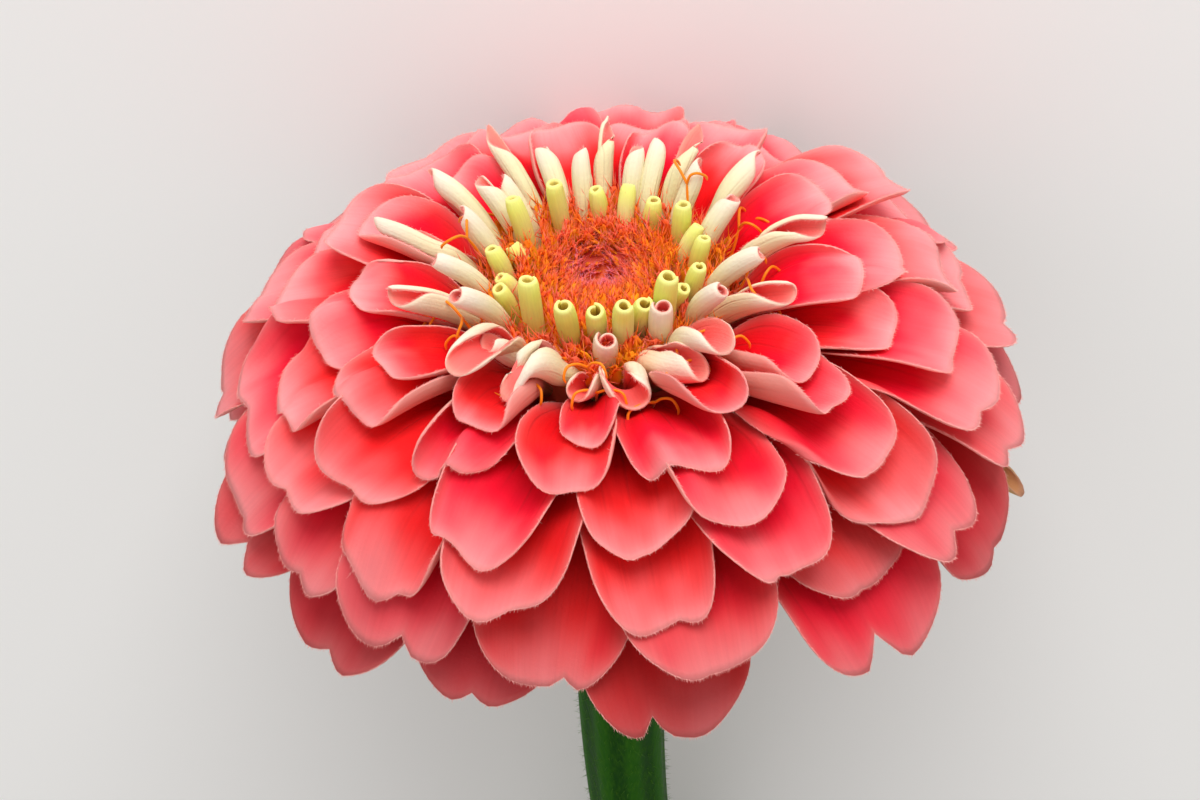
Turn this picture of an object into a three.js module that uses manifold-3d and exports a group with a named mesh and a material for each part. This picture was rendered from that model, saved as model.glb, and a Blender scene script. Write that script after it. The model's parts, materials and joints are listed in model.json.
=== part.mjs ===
// A cut zinnia flower, lying on a flat surface as it was picked.
//
// The bloom is built upright in its own frame: +Z runs up the flower's axis from the top of the stem
// (z = 0), and an azimuth of 0 degrees is the side of the bloom that is seen first, along -Y. Rows of ray
// petals stand one above the other round a domed receptacle: broad notched petals that droop at the bottom,
// spoon-shaped ones above them, then rolled rays, and short green quills round a raised disc of scales.
// The whole flower is then laid down. It rests on petals of the two lowest rows, whose tips are bent along
// the surface, and on the stem's cut end.
// Lengths are millimetres and angles are degrees.

import * as THREE from "three";
import { mergeVertices } from "three/addons/utils/BufferGeometryUtils.js";
import Module from "manifold-3d";

const wasm = await Module();
wasm.setup();

const GAP = 0.3; // clearance between touching pieces
const ROOM = 0.35; // clearance round a ray that passes through the rays below it
const BLADE = 0.78; // thickness of a petal along its middle
const RAD = Math.PI / 180;

// Stem
const STEM_LENGTH = 120;
const STEM_BOW = [-2, 1.2]; // how far its middle bows out from the flower's axis, in X and Y
const STEM_RIBS = 8;
const STEM_RIB_DEPTH = 0.05; // share of the radius
const STEM_CUT_SLANT = 25;
// (height, radius) from the head down to the cut
const STEM_RADII = [
  [0, 5.8], [-6, 5.4], [-20, 5.6], [-36, 5.7], [-56, 5.3], [-76, 4.9], [-98, 4.5], [-STEM_LENGTH, 4.3],
];

// Green cup under the petals: its (radius, height) profile, and the bracts that hug it, each from the
// (radius, height) of its foot to that of its tip
const CUP_TOP = 8;
const CUP_PROFILE = [[0, GAP], [5.5, GAP], [8.6, 1.6], [11.8, 4.6], [12.6, CUP_TOP], [0, CUP_TOP]];
const CUP_SIDES = 18;
const BRACT_ROWS = [
  { count: 8, phase: 0, foot: [5.6, 0.5], mid: [11.6, 1.7], tip: [13.4, 6], width: 7.5 },
  { count: 9, phase: 20, foot: [9, 2.4], mid: [12.5, 3.8], tip: [14.1, 8.6], width: 7.6 },
];
const BRACT_THICKNESS = 1;
const BRACT_BULGE = 0.35; // how far its middle line stands out from its edges
const BRACT_WIDEST = 0.4; // share of its length
const BRACT_END_WIDTH = 0.245; // smallest share of the width

// Receptacle above the cup, in slices: the radii of a slice's foot and top, and the height of its top
const PETAL_CORE = { radii: [13.2, 13.2], top: 16.8 };
const ROLLED_CORE = { radii: [12.4, 11.8], top: 20.4 };
const QUILL_CORE = { radii: [11, 10.8], top: 23.2 };
const CORE_SIDES = 14;

// Disc: the (radius, height) profile of its dome, and its pointed scales in a golden-angle spiral
const DISC_FOOT = QUILL_CORE.top + GAP;
const DISC_RADIUS = 9.2;
const DISC_TOP = 28;
const DISC_PROFILE = [
  [0, DISC_FOOT], [DISC_RADIUS, DISC_FOOT], [DISC_RADIUS, DISC_FOOT + 1.6],
  [7.4, 26.8], [4, DISC_TOP], [0, 27],
];
const DISC_SIDES = 24;
const SCALES = 84;
const GOLDEN_ANGLE = 137.508;
const SCALE_LENGTH = 3.4;
const SCALE_WIDTH = 1.5;
const SCALE_FLATNESS = 0.6; // its depth as a share of its width
const SCALE_SINK = 0.2; // how far its foot is sunk in the dome, as a share of its length
const SCALE_REACH = 9; // radius of the outermost scales
const SCALE_HEIGHTS = [DISC_TOP - 0.4, DISC_FOOT + 1.2]; // in the middle and at the rim
const SCALE_DOME = 2.6; // power by which the heights fall off towards the rim
const SCALE_LEAN = [-0.5, 0.05]; // radians, inwards in the middle and outwards at the rim

// Rows of rays, from the lowest to the innermost. A row has its number of rays, the azimuth of its first
// one, and the (radius, height) of its roots and of its tips. rise is the slope at the root, width is across
// the flattened blade, notch is the depth of the cut in the tip as a share of the length, and curl is how
// far the blade's edges turn up at the root and at the tip, as the half angle of the arc that its section
// makes. claw is the width of the narrow foot as a share of the width. tier is how far the rays of a row
// stand above and below it by turns, so that neighbours pass clear of each other.
const PETAL_ROWS = [
  {
    count: 14, phase: 5.5, root: [11.5, 9.6], tip: [46.4, 2.4],
    rise: 24, width: 17.2, notch: 0.05, curl: [40, 8],
  },
  {
    count: 17, phase: -9.5, root: [11.5, 11.2], tip: [46, 8.6],
    rise: 31, width: 16, notch: 0.045, curl: [42, 12],
  },
  {
    count: 16, phase: 4.5, root: [11.5, 12.6], tip: [42.4, 13.6],
    rise: 37, width: 14.8, notch: 0.04, curl: [44, 16],
  },
  {
    count: 15, phase: -1, root: [11.4, 13.8], tip: [38, 18.4],
    rise: 43, width: 13.6, curl: [46, 22],
  },
  {
    count: 14, phase: 16, root: [11.2, 14.9], tip: [33.2, 22],
    rise: 48, width: 11.8, curl: [52, 32],
  },
  {
    count: 13, phase: -5, root: [11, 15.8], tip: [27.6, 24.4],
    rise: 54, width: 10.2, curl: [64, 50],
  },
].map((row) => ({ notch: 0, ...row, claw: 0.24, tier: 1.1 }));
const ROLLED_ROWS = [
  {
    count: 13, phase: 8, root: [10.9, 18.3], tip: [22.8, 27.8],
    rise: 60, width: 8, curl: [150, 122],
  },
  {
    count: 13, phase: -5, root: [10.6, 19.2], tip: [17.6, 30.4],
    rise: 70, width: 6.6, curl: [160, 146],
  },
].map((row) => ({ notch: 0, ...row, claw: 0.45, tier: 0.44 }));
const QUILL_ROWS = [
  {
    count: 13, phase: 9, root: [10.6, 21.6], tip: [12.1, 30],
    rise: 82, width: 4.7, curl: [162, 160],
  },
].map((row) => ({ notch: 0, ...row, claw: 0.7, tier: 0.44 }));
const FIRST_ROLLED = PETAL_ROWS.length;
const FIRST_QUILL = FIRST_ROLLED + ROLLED_ROWS.length;

// Seeded scatter, so that no two rays are quite alike and every build is the same
const SEED = 20154;
const INDEX_STEP = 20; // a row's first ray has this index times the row's number
const AZIMUTH_SCATTER = 4;
const HEIGHT_SCATTER = 0.9;
const RADIUS_SCATTER = 0.8;
const TWIST_SCATTER = 6;
const NOTCH_SCATTER = 0.12; // share of half the width
const SCALE_LEAN_SCATTER = 0.12;
const SCALE_LENGTH_SCATTER = 0.4;

// Blade outline, in shares of its length: where its narrow foot ends, where it is widest and where its tip
// begins to round off. Past the shoulder it narrows by the taper.
const CLAW_END = 0.1;
const SHOULDER = 0.68;
const TIP_START = 0.72;
const TIP_ROUNDING = 2.2;
const TIP_TAPER = 0.28;
const NOTCH_REACH = 1 / 3; // from its middle to its side, as a share of half the width
const CURL_END = 0.9; // where the section has the curl of the tip

// Grids of the blades: columns across, from edge to edge, and stations along, from the root to the tip
const NOTCHED_GRID = [[-1, -0.5, 0, 0.5, 1], [0, 0.4, 0.72, 0.9, 1]];
const OPEN_GRID = [[-1, -0.4, 0.4, 1], [0, 0.38, 0.74, 1]];
const ROLLED_GRID = [[-1, -0.6, -0.2, 0.2, 0.6, 1], [0, 0.4, 0.75, 1]];
const BRACT_GRID = [[1, 0.5, 0, -0.5, -1], [0, 0.35, 0.7, 1]];

// How the flower lies: the slope of its axis, its turn about that axis, and the shift that brings the cut
// end down to the surface and the middle of the outline over the origin
const LIE_SLOPE = 16.6;
const LIE_TURN = 7;
const LIE_SHIFT = [-0.45, -40.65, 38.6];
const PRESS_SLIDE = 0.45; // how far a tip slides back for each millimetre that the surface bends it up

const PINK = new THREE.Color(0.93, 0.3, 0.34);
const CREAM = new THREE.Color(0.93, 0.86, 0.68);
const GREEN_YELLOW = new THREE.Color(0.8, 0.85, 0.33);
const ORANGE = new THREE.Color(0.9, 0.32, 0.1);
const LEAF_GREEN = new THREE.Color(0.24, 0.42, 0.14);
const STEM_GREEN = new THREE.Color(0.2, 0.4, 0.11);

const { lerp } = THREE.MathUtils;

// A number from -1 to 1 that depends only on the index and on what it is for
function scatter(index, purpose) {
  const wave = Math.sin((index + SEED) * 12.9898 + purpose * 78.233) * 43758.5453;
  return 2 * (wave - Math.floor(wave)) - 1;
}

function smoothstep(low, high, x) {
  const t = Math.min(1, Math.max(0, (x - low) / (high - low)));
  return t * t * (3 - 2 * t);
}

// From the flower's own frame to where it lies, and back
const lie = new THREE.Matrix4()
  .makeTranslation(...LIE_SHIFT)
  .multiply(new THREE.Matrix4().makeRotationX((90 - LIE_SLOPE) * RAD))
  .multiply(new THREE.Matrix4().makeRotationZ((180 + LIE_TURN) * RAD));
const rise = lie.clone().invert();

// Solids

function solidOf(geometry) {
  const bare = new THREE.BufferGeometry().setAttribute("position", geometry.getAttribute("position"));
  bare.setIndex(geometry.index);
  const merged = mergeVertices(bare, 1e-4);
  const triVerts = new Uint32Array(merged.index.array);
  const mesh = new wasm.Mesh({ numProp: 3, vertProperties: merged.attributes.position.array, triVerts });
  return new wasm.Manifold(mesh);
}

function geometryOf(solid) {
  const { numProp, vertProperties, triVerts } = solid.getMesh();
  const positions = new Float32Array((vertProperties.length / numProp) * 3);
  for (let i = 0; i < positions.length / 3; i++) {
    positions.set(vertProperties.subarray(i * numProp, i * numProp + 3), i * 3);
  }
  const geometry = new THREE.BufferGeometry();
  geometry.setAttribute("position", new THREE.BufferAttribute(positions, 3));
  geometry.setIndex(new THREE.BufferAttribute(triVerts, 1));
  geometry.computeVertexNormals();
  return geometry;
}

// The outer skin of a solid's largest body: a hollow that joining sealed is filled, and scraps are dropped
function mainBody(solid) {
  return solid.decompose().reduce((best, body) => (body.volume() > best.volume() ? body : best));
}

function indexed(points, triangles) {
  const geometry = new THREE.BufferGeometry().setFromPoints(points);
  geometry.setIndex(triangles);
  return geometry;
}

// A closed skin through rings that all have the same number of points, with its two ends capped
function loft(rings) {
  const sides = rings[0].length;
  const triangles = [];
  for (let i = 0; i + 1 < rings.length; i++) {
    for (let j = 0; j < sides; j++) {
      const a = i * sides + j;
      const b = i * sides + ((j + 1) % sides);
      triangles.push(a, b, b + sides, a, b + sides, a + sides);
    }
  }
  const last = (rings.length - 1) * sides;
  for (let j = 1; j + 1 < sides; j++) {
    triangles.push(0, j + 1, j, last, last + j, last + j + 1);
  }
  return indexed(rings.flat(), triangles);
}

// A (radius, height) profile turned about +Z
function turned(profile, sides) {
  const points = profile.map(([r, z]) => new THREE.Vector2(r, z));
  return solidOf(new THREE.LatheGeometry(points, sides).rotateX(Math.PI / 2));
}

// A blade is a grid of points on its upper face. Its lower face lies behind it by the thickness, and both
// meet in a thin edge. A margin moves both faces outwards, for the room that a blade needs in what it passes
// through.
function blade(face, thickness, margin = 0) {
  const rows = face.length;
  const columns = face[0].length;
  const points = face.flat().map((point) => point.clone());
  const upper = (i, j) => i * columns + j;
  const lower = [];
  for (let i = 0; i < rows; i++) {
    for (let j = 0; j < columns; j++) {
      const edge = i === 0 || j === 0 || i === rows - 1 || j === columns - 1;
      lower.push(edge ? upper(i, j) : points.length);
      if (edge) continue;
      const along = face[i + 1][j].clone().sub(face[i - 1][j]);
      const across = face[i][j + 1].clone().sub(face[i][j - 1]);
      const back = across.cross(along).normalize();
      points.push(face[i][j].clone().addScaledVector(back, thickness + margin));
      points[upper(i, j)].addScaledVector(back, -margin);
    }
  }
  const triangles = [];
  for (let i = 0; i + 1 < rows; i++) {
    for (let j = 0; j + 1 < columns; j++) {
      const corners = [upper(i, j), upper(i, j + 1), upper(i + 1, j + 1), upper(i + 1, j)];
      const [a, b, c, d] = corners;
      const [e, f, g, h] = corners.map((corner) => lower[corner]);
      triangles.push(a, c, b, a, d, c, e, f, g, e, g, h);
    }
  }
  return solidOf(indexed(points, triangles));
}

// Rays

// A ray's middle line is an arc in its own upright plane, from the root, at the row's rise, to the tip.
function arcPoint(ray, v) {
  const chord = Math.hypot(ray.tip[0] - ray.root[0], ray.tip[1] - ray.root[1]);
  const chordSlope = Math.atan2(ray.tip[1] - ray.root[1], ray.tip[0] - ray.root[0]);
  const bend = ray.rise * RAD - chordSlope;
  const reach = (chord * Math.sin(bend * v)) / Math.sin(bend);
  const heading = ray.rise * RAD - bend * v;
  return {
    length: (chord * bend) / Math.sin(bend),
    slope: heading - bend * v,
    r: ray.root[0] + reach * Math.cos(heading),
    z: ray.root[1] + reach * Math.sin(heading),
  };
}

function halfWidth(ray, v) {
  const taper = 1 - TIP_TAPER * Math.max(0, (v - SHOULDER) / (1 - SHOULDER)) ** 2;
  return (ray.width / 2) * taper * lerp(ray.claw, 1, smoothstep(CLAW_END, SHOULDER, v));
}

// Where along the blade the column at u ends: a rounded tip with a notch
function columnEnd(ray, u) {
  const round = Math.sqrt(1 - Math.abs(u) ** TIP_ROUNDING);
  const cut = ray.notch * Math.max(0, 1 - Math.abs(u - ray.notchAt) / NOTCH_REACH);
  return lerp(TIP_START, 1, round) - cut;
}

function rayPoint(ray, u, v) {
  const { r, z, slope } = arcPoint(ray, v);
  const curl = lerp(...ray.curl, smoothstep(0, CURL_END, v)) * RAD;
  const half = halfWidth(ray, v);
  const sideways = (half * Math.sin(curl * u)) / curl;
  const lift = (half * (1 - Math.cos(curl * u))) / curl;
  const twist = ray.twist * RAD * v;
  const across = sideways * Math.cos(twist) - lift * Math.sin(twist);
  const above = sideways * Math.sin(twist) + lift * Math.cos(twist);
  const point = new THREE.Vector3(across, -(r - above * Math.sin(slope)), z + above * Math.cos(slope));
  return point.applyAxisAngle(new THREE.Vector3(0, 0, 1), ray.azimuth * RAD);
}

// A point of a ray that would lie under the surface is bent up to it.
function pressed(point) {
  point.applyMatrix4(lie);
  const depth = Math.max(0, -point.z);
  point.z += depth;
  point.y += depth * PRESS_SLIDE;
  return point.applyMatrix4(rise);
}

// The rays of a row, each with its own small differences
function raysOf(row, rowIndex) {
  return Array.from({ length: row.count }, (_, i) => {
    const index = rowIndex * INDEX_STEP + i;
    const lift = (i % 2 ? row.tier : -row.tier) + HEIGHT_SCATTER * scatter(index, 2);
    const reach = RADIUS_SCATTER * scatter(index, 3);
    return {
      ...row,
      azimuth: row.phase + (360 * i) / row.count + AZIMUTH_SCATTER * scatter(index, 1),
      tip: [row.tip[0] + reach, row.tip[1] + lift],
      twist: TWIST_SCATTER * scatter(index, 4),
      notchAt: NOTCH_SCATTER * scatter(index, 5),
    };
  });
}

function raySolid(ray, [columns, stations], margin = 0) {
  const wide = { ...ray, width: ray.width + 2 * margin };
  const past = 1 + margin / arcPoint(ray, 0).length;
  const face = stations.map((v) =>
    columns.map((u) => pressed(rayPoint(wide, u, v * past * columnEnd(ray, u)))),
  );
  return blade(face, BLADE, margin);
}

// A slice of the receptacle. Its margin widens it and lowers its foot, for the room it needs among the rays.
function receptacle(core, foot, margin = 0) {
  const [footRadius, topRadius] = core.radii.map((radius) => radius + margin);
  const low = foot - margin;
  return turned([[0, low], [footRadius, low], [topRadius, core.top], [0, core.top]], CORE_SIDES);
}

function openRays() {
  const solids = PETAL_ROWS.flatMap((row, k) =>
    raysOf(row, k).map((ray) => raySolid(ray, row.notch > 0 ? NOTCHED_GRID : OPEN_GRID)),
  );
  return wasm.Manifold.union([receptacle(PETAL_CORE, CUP_TOP + GAP), ...solids]);
}

function rolledRays(margin = 0) {
  const solids = ROLLED_ROWS.flatMap((row, k) =>
    raysOf(row, FIRST_ROLLED + k).map((ray) => raySolid(ray, ROLLED_GRID, margin)),
  );
  return wasm.Manifold.union([receptacle(ROLLED_CORE, PETAL_CORE.top + GAP, margin), ...solids]);
}

function quillRays(margin = 0) {
  const solids = QUILL_ROWS.flatMap((row, k) =>
    raysOf(row, FIRST_QUILL + k).map((ray) => raySolid(ray, ROLLED_GRID, margin)),
  );
  return wasm.Manifold.union([receptacle(QUILL_CORE, ROLLED_CORE.top + GAP, margin), ...solids]);
}

// Disc: a dome with pointed scales, upright at the rim and leaning in at the middle
function discSolid() {
  const pieces = [turned(DISC_PROFILE, DISC_SIDES)];
  for (let i = 0; i < SCALES; i++) {
    const share = Math.sqrt((i + 0.5) / SCALES);
    const azimuth = i * GOLDEN_ANGLE * RAD;
    const r = share * SCALE_REACH;
    const z = lerp(...SCALE_HEIGHTS, share ** SCALE_DOME);
    const lean = lerp(...SCALE_LEAN, share) + SCALE_LEAN_SCATTER * scatter(i, 6);
    const length = SCALE_LENGTH + SCALE_LENGTH_SCATTER * scatter(i, 7);
    const scale = new THREE.ConeGeometry(SCALE_WIDTH / 2, length, 4).scale(1, 1, SCALE_FLATNESS);
    scale.rotateX(Math.PI / 2).translate(0, 0, SCALE_LENGTH * (0.5 - SCALE_SINK));
    scale.rotateX(lean).rotateZ(azimuth);
    scale.translate(r * Math.sin(azimuth), -r * Math.cos(azimuth), z);
    pieces.push(solidOf(scale));
  }
  return wasm.Manifold.union(pieces);
}

// One bract, round the cup's axis at the given azimuth
function bract(row, azimuth) {
  const ends = [row.foot, row.mid, row.tip].map(([r, z]) => new THREE.Vector2(r, z));
  const path = new THREE.QuadraticBezierCurve(...ends);
  const [columns, stations] = BRACT_GRID;
  const face = stations.map((v) => {
    const middle = path.getPoint(v);
    const fall = ((v - BRACT_WIDEST) / (1 - BRACT_WIDEST)) ** 2;
    const half = (row.width / 2) * Math.max(BRACT_END_WIDTH, Math.sqrt(1 - Math.min(1, fall)));
    return columns.map((u) => {
      const angle = azimuth + (half * u) / middle.x;
      const r = middle.x + BRACT_BULGE * (1 - u * u);
      return new THREE.Vector3(r * Math.sin(angle), -r * Math.cos(angle), middle.y);
    });
  });
  return blade(face, BRACT_THICKNESS);
}

// Green cup: a flaring body with two rows of rounded bracts
function cupSolid() {
  const bracts = BRACT_ROWS.flatMap((row) =>
    Array.from({ length: row.count }, (_, i) => bract(row, (row.phase + (360 * i) / row.count) * RAD)),
  );
  return wasm.Manifold.union([turned(CUP_PROFILE, CUP_SIDES), ...bracts]);
}

// Stem: ribbed, swollen under the head, bowed, with a slanted cut
function stemSolid() {
  const sides = STEM_RIBS * 2;
  const rings = STEM_RADII.map(([z, radius], k) => {
    const bow = (1 - Math.cos((2 * Math.PI * z) / STEM_LENGTH)) / 2;
    const slant = k === STEM_RADII.length - 1 ? Math.tan(STEM_CUT_SLANT * RAD) : 0;
    return Array.from({ length: sides }, (_, j) => {
      const angle = ((j + 0.5) / sides) * 2 * Math.PI;
      const r = radius * (1 - (j % 2 ? STEM_RIB_DEPTH : 0));
      const x = r * Math.cos(angle);
      const y = r * Math.sin(angle);
      return new THREE.Vector3(x + bow * STEM_BOW[0], y + bow * STEM_BOW[1], z - y * slant);
    });
  });
  return solidOf(loft(rings.reverse()));
}

// The space under the surface, in the flower's own frame. It trims the stem's lowest edge to a flat spot.
function belowSurface() {
  return solidOf(new THREE.BoxGeometry(400, 400, 40).translate(0, 0, -20).applyMatrix4(rise));
}

// Nodes

const flower = new THREE.Group();
flower.applyMatrix4(lie);

function addNode(name, solid, color, roughness) {
  const material = new THREE.MeshStandardMaterial({ color, roughness, metalness: 0 });
  const mesh = new THREE.Mesh(geometryOf(mainBody(solid)), material);
  mesh.name = name;
  flower.add(mesh);
}

addNode("stem", stemSolid().subtract(belowSurface()), STEM_GREEN, 0.6);
addNode("bract_cup", cupSolid(), LEAF_GREEN, 0.65);
addNode("ray_petals", openRays().subtract(rolledRays(ROOM)), PINK, 0.55);
addNode("rolled_rays", rolledRays().subtract(quillRays(ROOM)), CREAM, 0.6);
addNode("green_quills", quillRays(), GREEN_YELLOW, 0.55);
addNode("disc", discSolid().subtract(quillRays(ROOM)), ORANGE, 0.7);

const part = new THREE.Group();
part.add(flower);
export default part;
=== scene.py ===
"""A cut zinnia flower that lies on a pale surface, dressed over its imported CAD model.

The flower is worked out upright in its own frame, in millimetres, with the numbers of the part's source. +Z
runs up its axis, and an azimuth of 0 degrees is the side seen first. LIE then lays it down, in metres.
"""
import json
import math

import bmesh
import bpy
import numpy as np
from mathutils import Matrix, Vector

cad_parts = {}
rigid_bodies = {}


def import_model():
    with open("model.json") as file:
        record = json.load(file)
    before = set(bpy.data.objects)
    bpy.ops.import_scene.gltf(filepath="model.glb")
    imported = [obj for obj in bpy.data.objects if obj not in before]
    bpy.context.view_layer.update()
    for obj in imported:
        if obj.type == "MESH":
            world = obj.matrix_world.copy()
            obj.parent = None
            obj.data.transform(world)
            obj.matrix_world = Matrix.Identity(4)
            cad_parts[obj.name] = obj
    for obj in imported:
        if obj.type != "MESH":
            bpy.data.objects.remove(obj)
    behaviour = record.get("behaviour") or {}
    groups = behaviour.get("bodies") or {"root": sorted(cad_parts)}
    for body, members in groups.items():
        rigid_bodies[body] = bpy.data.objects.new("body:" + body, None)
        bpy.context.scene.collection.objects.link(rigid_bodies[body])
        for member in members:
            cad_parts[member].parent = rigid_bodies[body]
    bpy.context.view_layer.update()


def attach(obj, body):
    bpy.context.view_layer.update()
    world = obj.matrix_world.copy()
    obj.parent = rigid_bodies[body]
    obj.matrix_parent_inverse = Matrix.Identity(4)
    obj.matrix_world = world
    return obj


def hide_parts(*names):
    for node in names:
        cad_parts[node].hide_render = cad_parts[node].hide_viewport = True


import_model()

RAD = math.pi / 180
MM = 0.001

# How the flower lies, as in the part's source
LIE_SLOPE = 16.6
LIE_TURN = 7
LIE_SHIFT = (-0.45, -40.65, 38.6)
PRESS_SLIDE = 0.45
PRESS_SOFTNESS = 0.9  # millimetres over which a petal starts to bend along the surface

turn_down = Matrix.Rotation((90 - LIE_SLOPE) * RAD, 4, "X") @ Matrix.Rotation((180 + LIE_TURN) * RAD, 4, "Z")
LIE_MM = np.array(Matrix.Translation(LIE_SHIFT) @ turn_down)
LIE = Matrix.Translation(Vector(LIE_SHIFT) * MM) @ turn_down

# Camera: seen in the flower's own frame, it looks down on the bloom from this elevation, a little tilted
CAMERA_ELEVATION = 43 * RAD
CAMERA_TILT = 5 * RAD
CAMERA_DISTANCE = 0.33
PIXELS_PER_METRE = 9100  # at the middle of the disc, in a frame 1200 pixels wide
FRAME_WIDTH = 1200
DISC_MIDDLE = Vector((0, 0, 0.025))
DISC_ABOVE_MIDDLE = 125  # pixels from the frame's middle up to the middle of the disc
SENSOR = 36

# Rows of rays, as in the part's source, with their numbers in the order of ROW_KEYS
ROW_KEYS = ("count", "phase", "root", "tip", "rise", "width", "notch", "curl")
PETAL_ROWS = [
    (14, 5.5, (11.5, 9.6), (46.4, 2.4), 24, 17.2, 0.05, (40, 8)),
    (17, -9.5, (11.5, 11.2), (46, 8.6), 31, 16, 0.045, (42, 12)),
    (16, 4.5, (11.5, 12.6), (42.4, 13.6), 37, 14.8, 0.04, (44, 16)),
    (15, -1, (11.4, 13.8), (38, 18.4), 43, 13.6, 0.03, (46, 22)),
    (14, 16, (11.2, 14.9), (33.2, 22), 48, 11.8, 0.02, (52, 32)),
    (13, -5, (11, 15.8), (27.6, 24.4), 54, 10.2, 0.01, (64, 50)),
]
ROLLED_ROWS = [
    (13, 8, (10.9, 18.3), (22.8, 27.8), 60, 8, 0, (150, 122)),
    (13, -5, (10.6, 19.2), (17.6, 30.4), 70, 6.6, 0, (160, 146)),
]
QUILL_ROWS = [
    (13, 9, (10.6, 21.6), (12.1, 30), 82, 4.7, 0, (162, 160)),
]
for rows, claw, tier in ((PETAL_ROWS, 0.24, 1.1), (ROLLED_ROWS, 0.45, 0.44), (QUILL_ROWS, 0.7, 0.44)):
    rows[:] = [dict(zip(ROW_KEYS, row), claw=claw, tier=tier) for row in rows]

SEED = 20154
INDEX_STEP = 20
AZIMUTH_SCATTER = 4
HEIGHT_SCATTER = 0.9
RADIUS_SCATTER = 0.8
TWIST_SCATTER = 6
CLAW_END = 0.1
SHOULDER = 0.68
TIP_START = 0.72
TIP_ROUNDING = 2.3
TIP_TAPER = 0.28
CURL_END = 0.9
SECTION_STEPS = 14
ROLLED_CURL = 90  # a ray with more curl than this at its root is rolled
HAIRY_FROM = 0.45  # from this share of its length on, a ray's margin is hairy
DROOP_START = 0.62
GOLDEN_ANGLE = 137.508 * RAD

# Each open ray is thinner than its solid, with a thin rim and a pale margin, all in millimetres
PETAL_THICKNESS = 0.42
RIM_WIDTH = 0.7
PALE_RIM_WIDTH = 0.6
RIM_THICKNESS = 0.13
FLOOR_CLEARANCE = 0.02

# Each open ray rests on those below it: a map of heights over the bloom, and the room left between two rays
STACK_REACH = 57
STACK_CELL = 0.3
STACK_GAP = 0.3
STACK_ROUNDS = 3
STACK_SOFTENING = 5
STACK_CELLS = int(2 * STACK_REACH / STACK_CELL)

rng = np.random.default_rng(SEED)


def scatter(index, purpose):
    """The part's own scatter: a number from -1 to 1 that depends only on the index and on what it is for."""
    wave = math.sin((index + SEED) * 12.9898 + purpose * 78.233) * 43758.5453
    return 2 * (wave - math.floor(wave)) - 1


def smoothstep(low, high, x):
    t = np.clip((x - low) / (high - low), 0, 1)
    return t * t * (3 - 2 * t)


def mix(a, b, t):
    return a + (b - a) * t


# Meshes


def linked(name, data):
    """A new object, put into the scene."""
    made = bpy.data.objects.new(name, data)
    bpy.context.scene.collection.objects.link(made)
    return made


def mesh_piece(name, points, faces, material=None, **attributes):
    """A mesh object from points in metres. Each attribute is one number per point."""
    mesh = bpy.data.meshes.new(name)
    faces = faces.tolist() if isinstance(faces, np.ndarray) else faces
    mesh.from_pydata(np.asarray(points, np.float32).tolist(), [], faces)
    for label, values in attributes.items():
        layer = mesh.attributes.new(label, "FLOAT", "POINT")
        layer.data.foreach_set("value", np.asarray(values, np.float32))
    mesh.shade_smooth()
    if material:
        mesh.materials.append(material)
    return linked(name, mesh)


def laid_down(points):
    """From the flower's own frame, in millimetres, to where it lies, still in millimetres."""
    return points @ LIE_MM[:3, :3].T + LIE_MM[:3, 3]


def pressed(points):
    """Points of a laid-down ray that would sink into the surface, bent along it."""
    height = points[..., 2] - FLOOR_CLEARANCE
    soft = 0.5 * (height + np.sqrt(height**2 + PRESS_SOFTNESS**2)) - 0.5 * PRESS_SOFTNESS * np.exp(
        -np.abs(height) / PRESS_SOFTNESS
    )
    bent = np.where(height < 4 * PRESS_SOFTNESS, np.maximum(soft, 0), height)
    out = points.copy()
    out[..., 2] = bent + FLOOR_CLEARANCE
    out[..., 1] += np.maximum(bent - height, 0) * PRESS_SLIDE
    return out


def lathe(profile, sides=64):
    """A closed skin turned about the flower's axis, in its own frame, from a (radius, height) profile."""
    profile = np.asarray(profile, float)
    ring = np.linspace(0, 2 * math.pi, sides, endpoint=False)
    inner = profile[1:-1]
    points = [(0, 0, profile[0][1])]
    points += [(r * math.cos(t), r * math.sin(t), z) for r, z in inner for t in ring]
    points.append((0, 0, profile[-1][1]))
    faces, last = [], len(points) - 1
    for j in range(sides):
        k = (j + 1) % sides
        faces.append((0, 1 + k, 1 + j))
        faces.append((last, last - sides + j, last - sides + k))
        for i in range(len(inner) - 1):
            a = 1 + i * sides
            faces.append((a + j, a + k, a + sides + k, a + sides + j))
    return np.array(points), faces


def smoothed(values, times):
    """Softens a run of numbers or of points, and keeps its ends."""
    for _ in range(times):
        values[1:-1] = (values[:-2] + 2 * values[1:-1] + values[2:]) / 4
    return values


def smooth_profile(corners, steps=5):
    """Rounds a profile by running a soft curve through its corners."""
    corners = np.asarray(corners, float)
    at = np.linspace(0, len(corners) - 1, (len(corners) - 1) * steps + 1)
    return smoothed(np.stack([np.interp(at, np.arange(len(corners)), way) for way in corners.T], -1), 3)


def unit(vectors):
    return vectors / (np.linalg.norm(vectors, axis=-1, keepdims=True) + 1e-9)


def grid_normals(grid):
    """The way of across x along at each point of a grid."""
    return unit(np.cross(np.gradient(grid, axis=1), np.gradient(grid, axis=0)))


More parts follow.
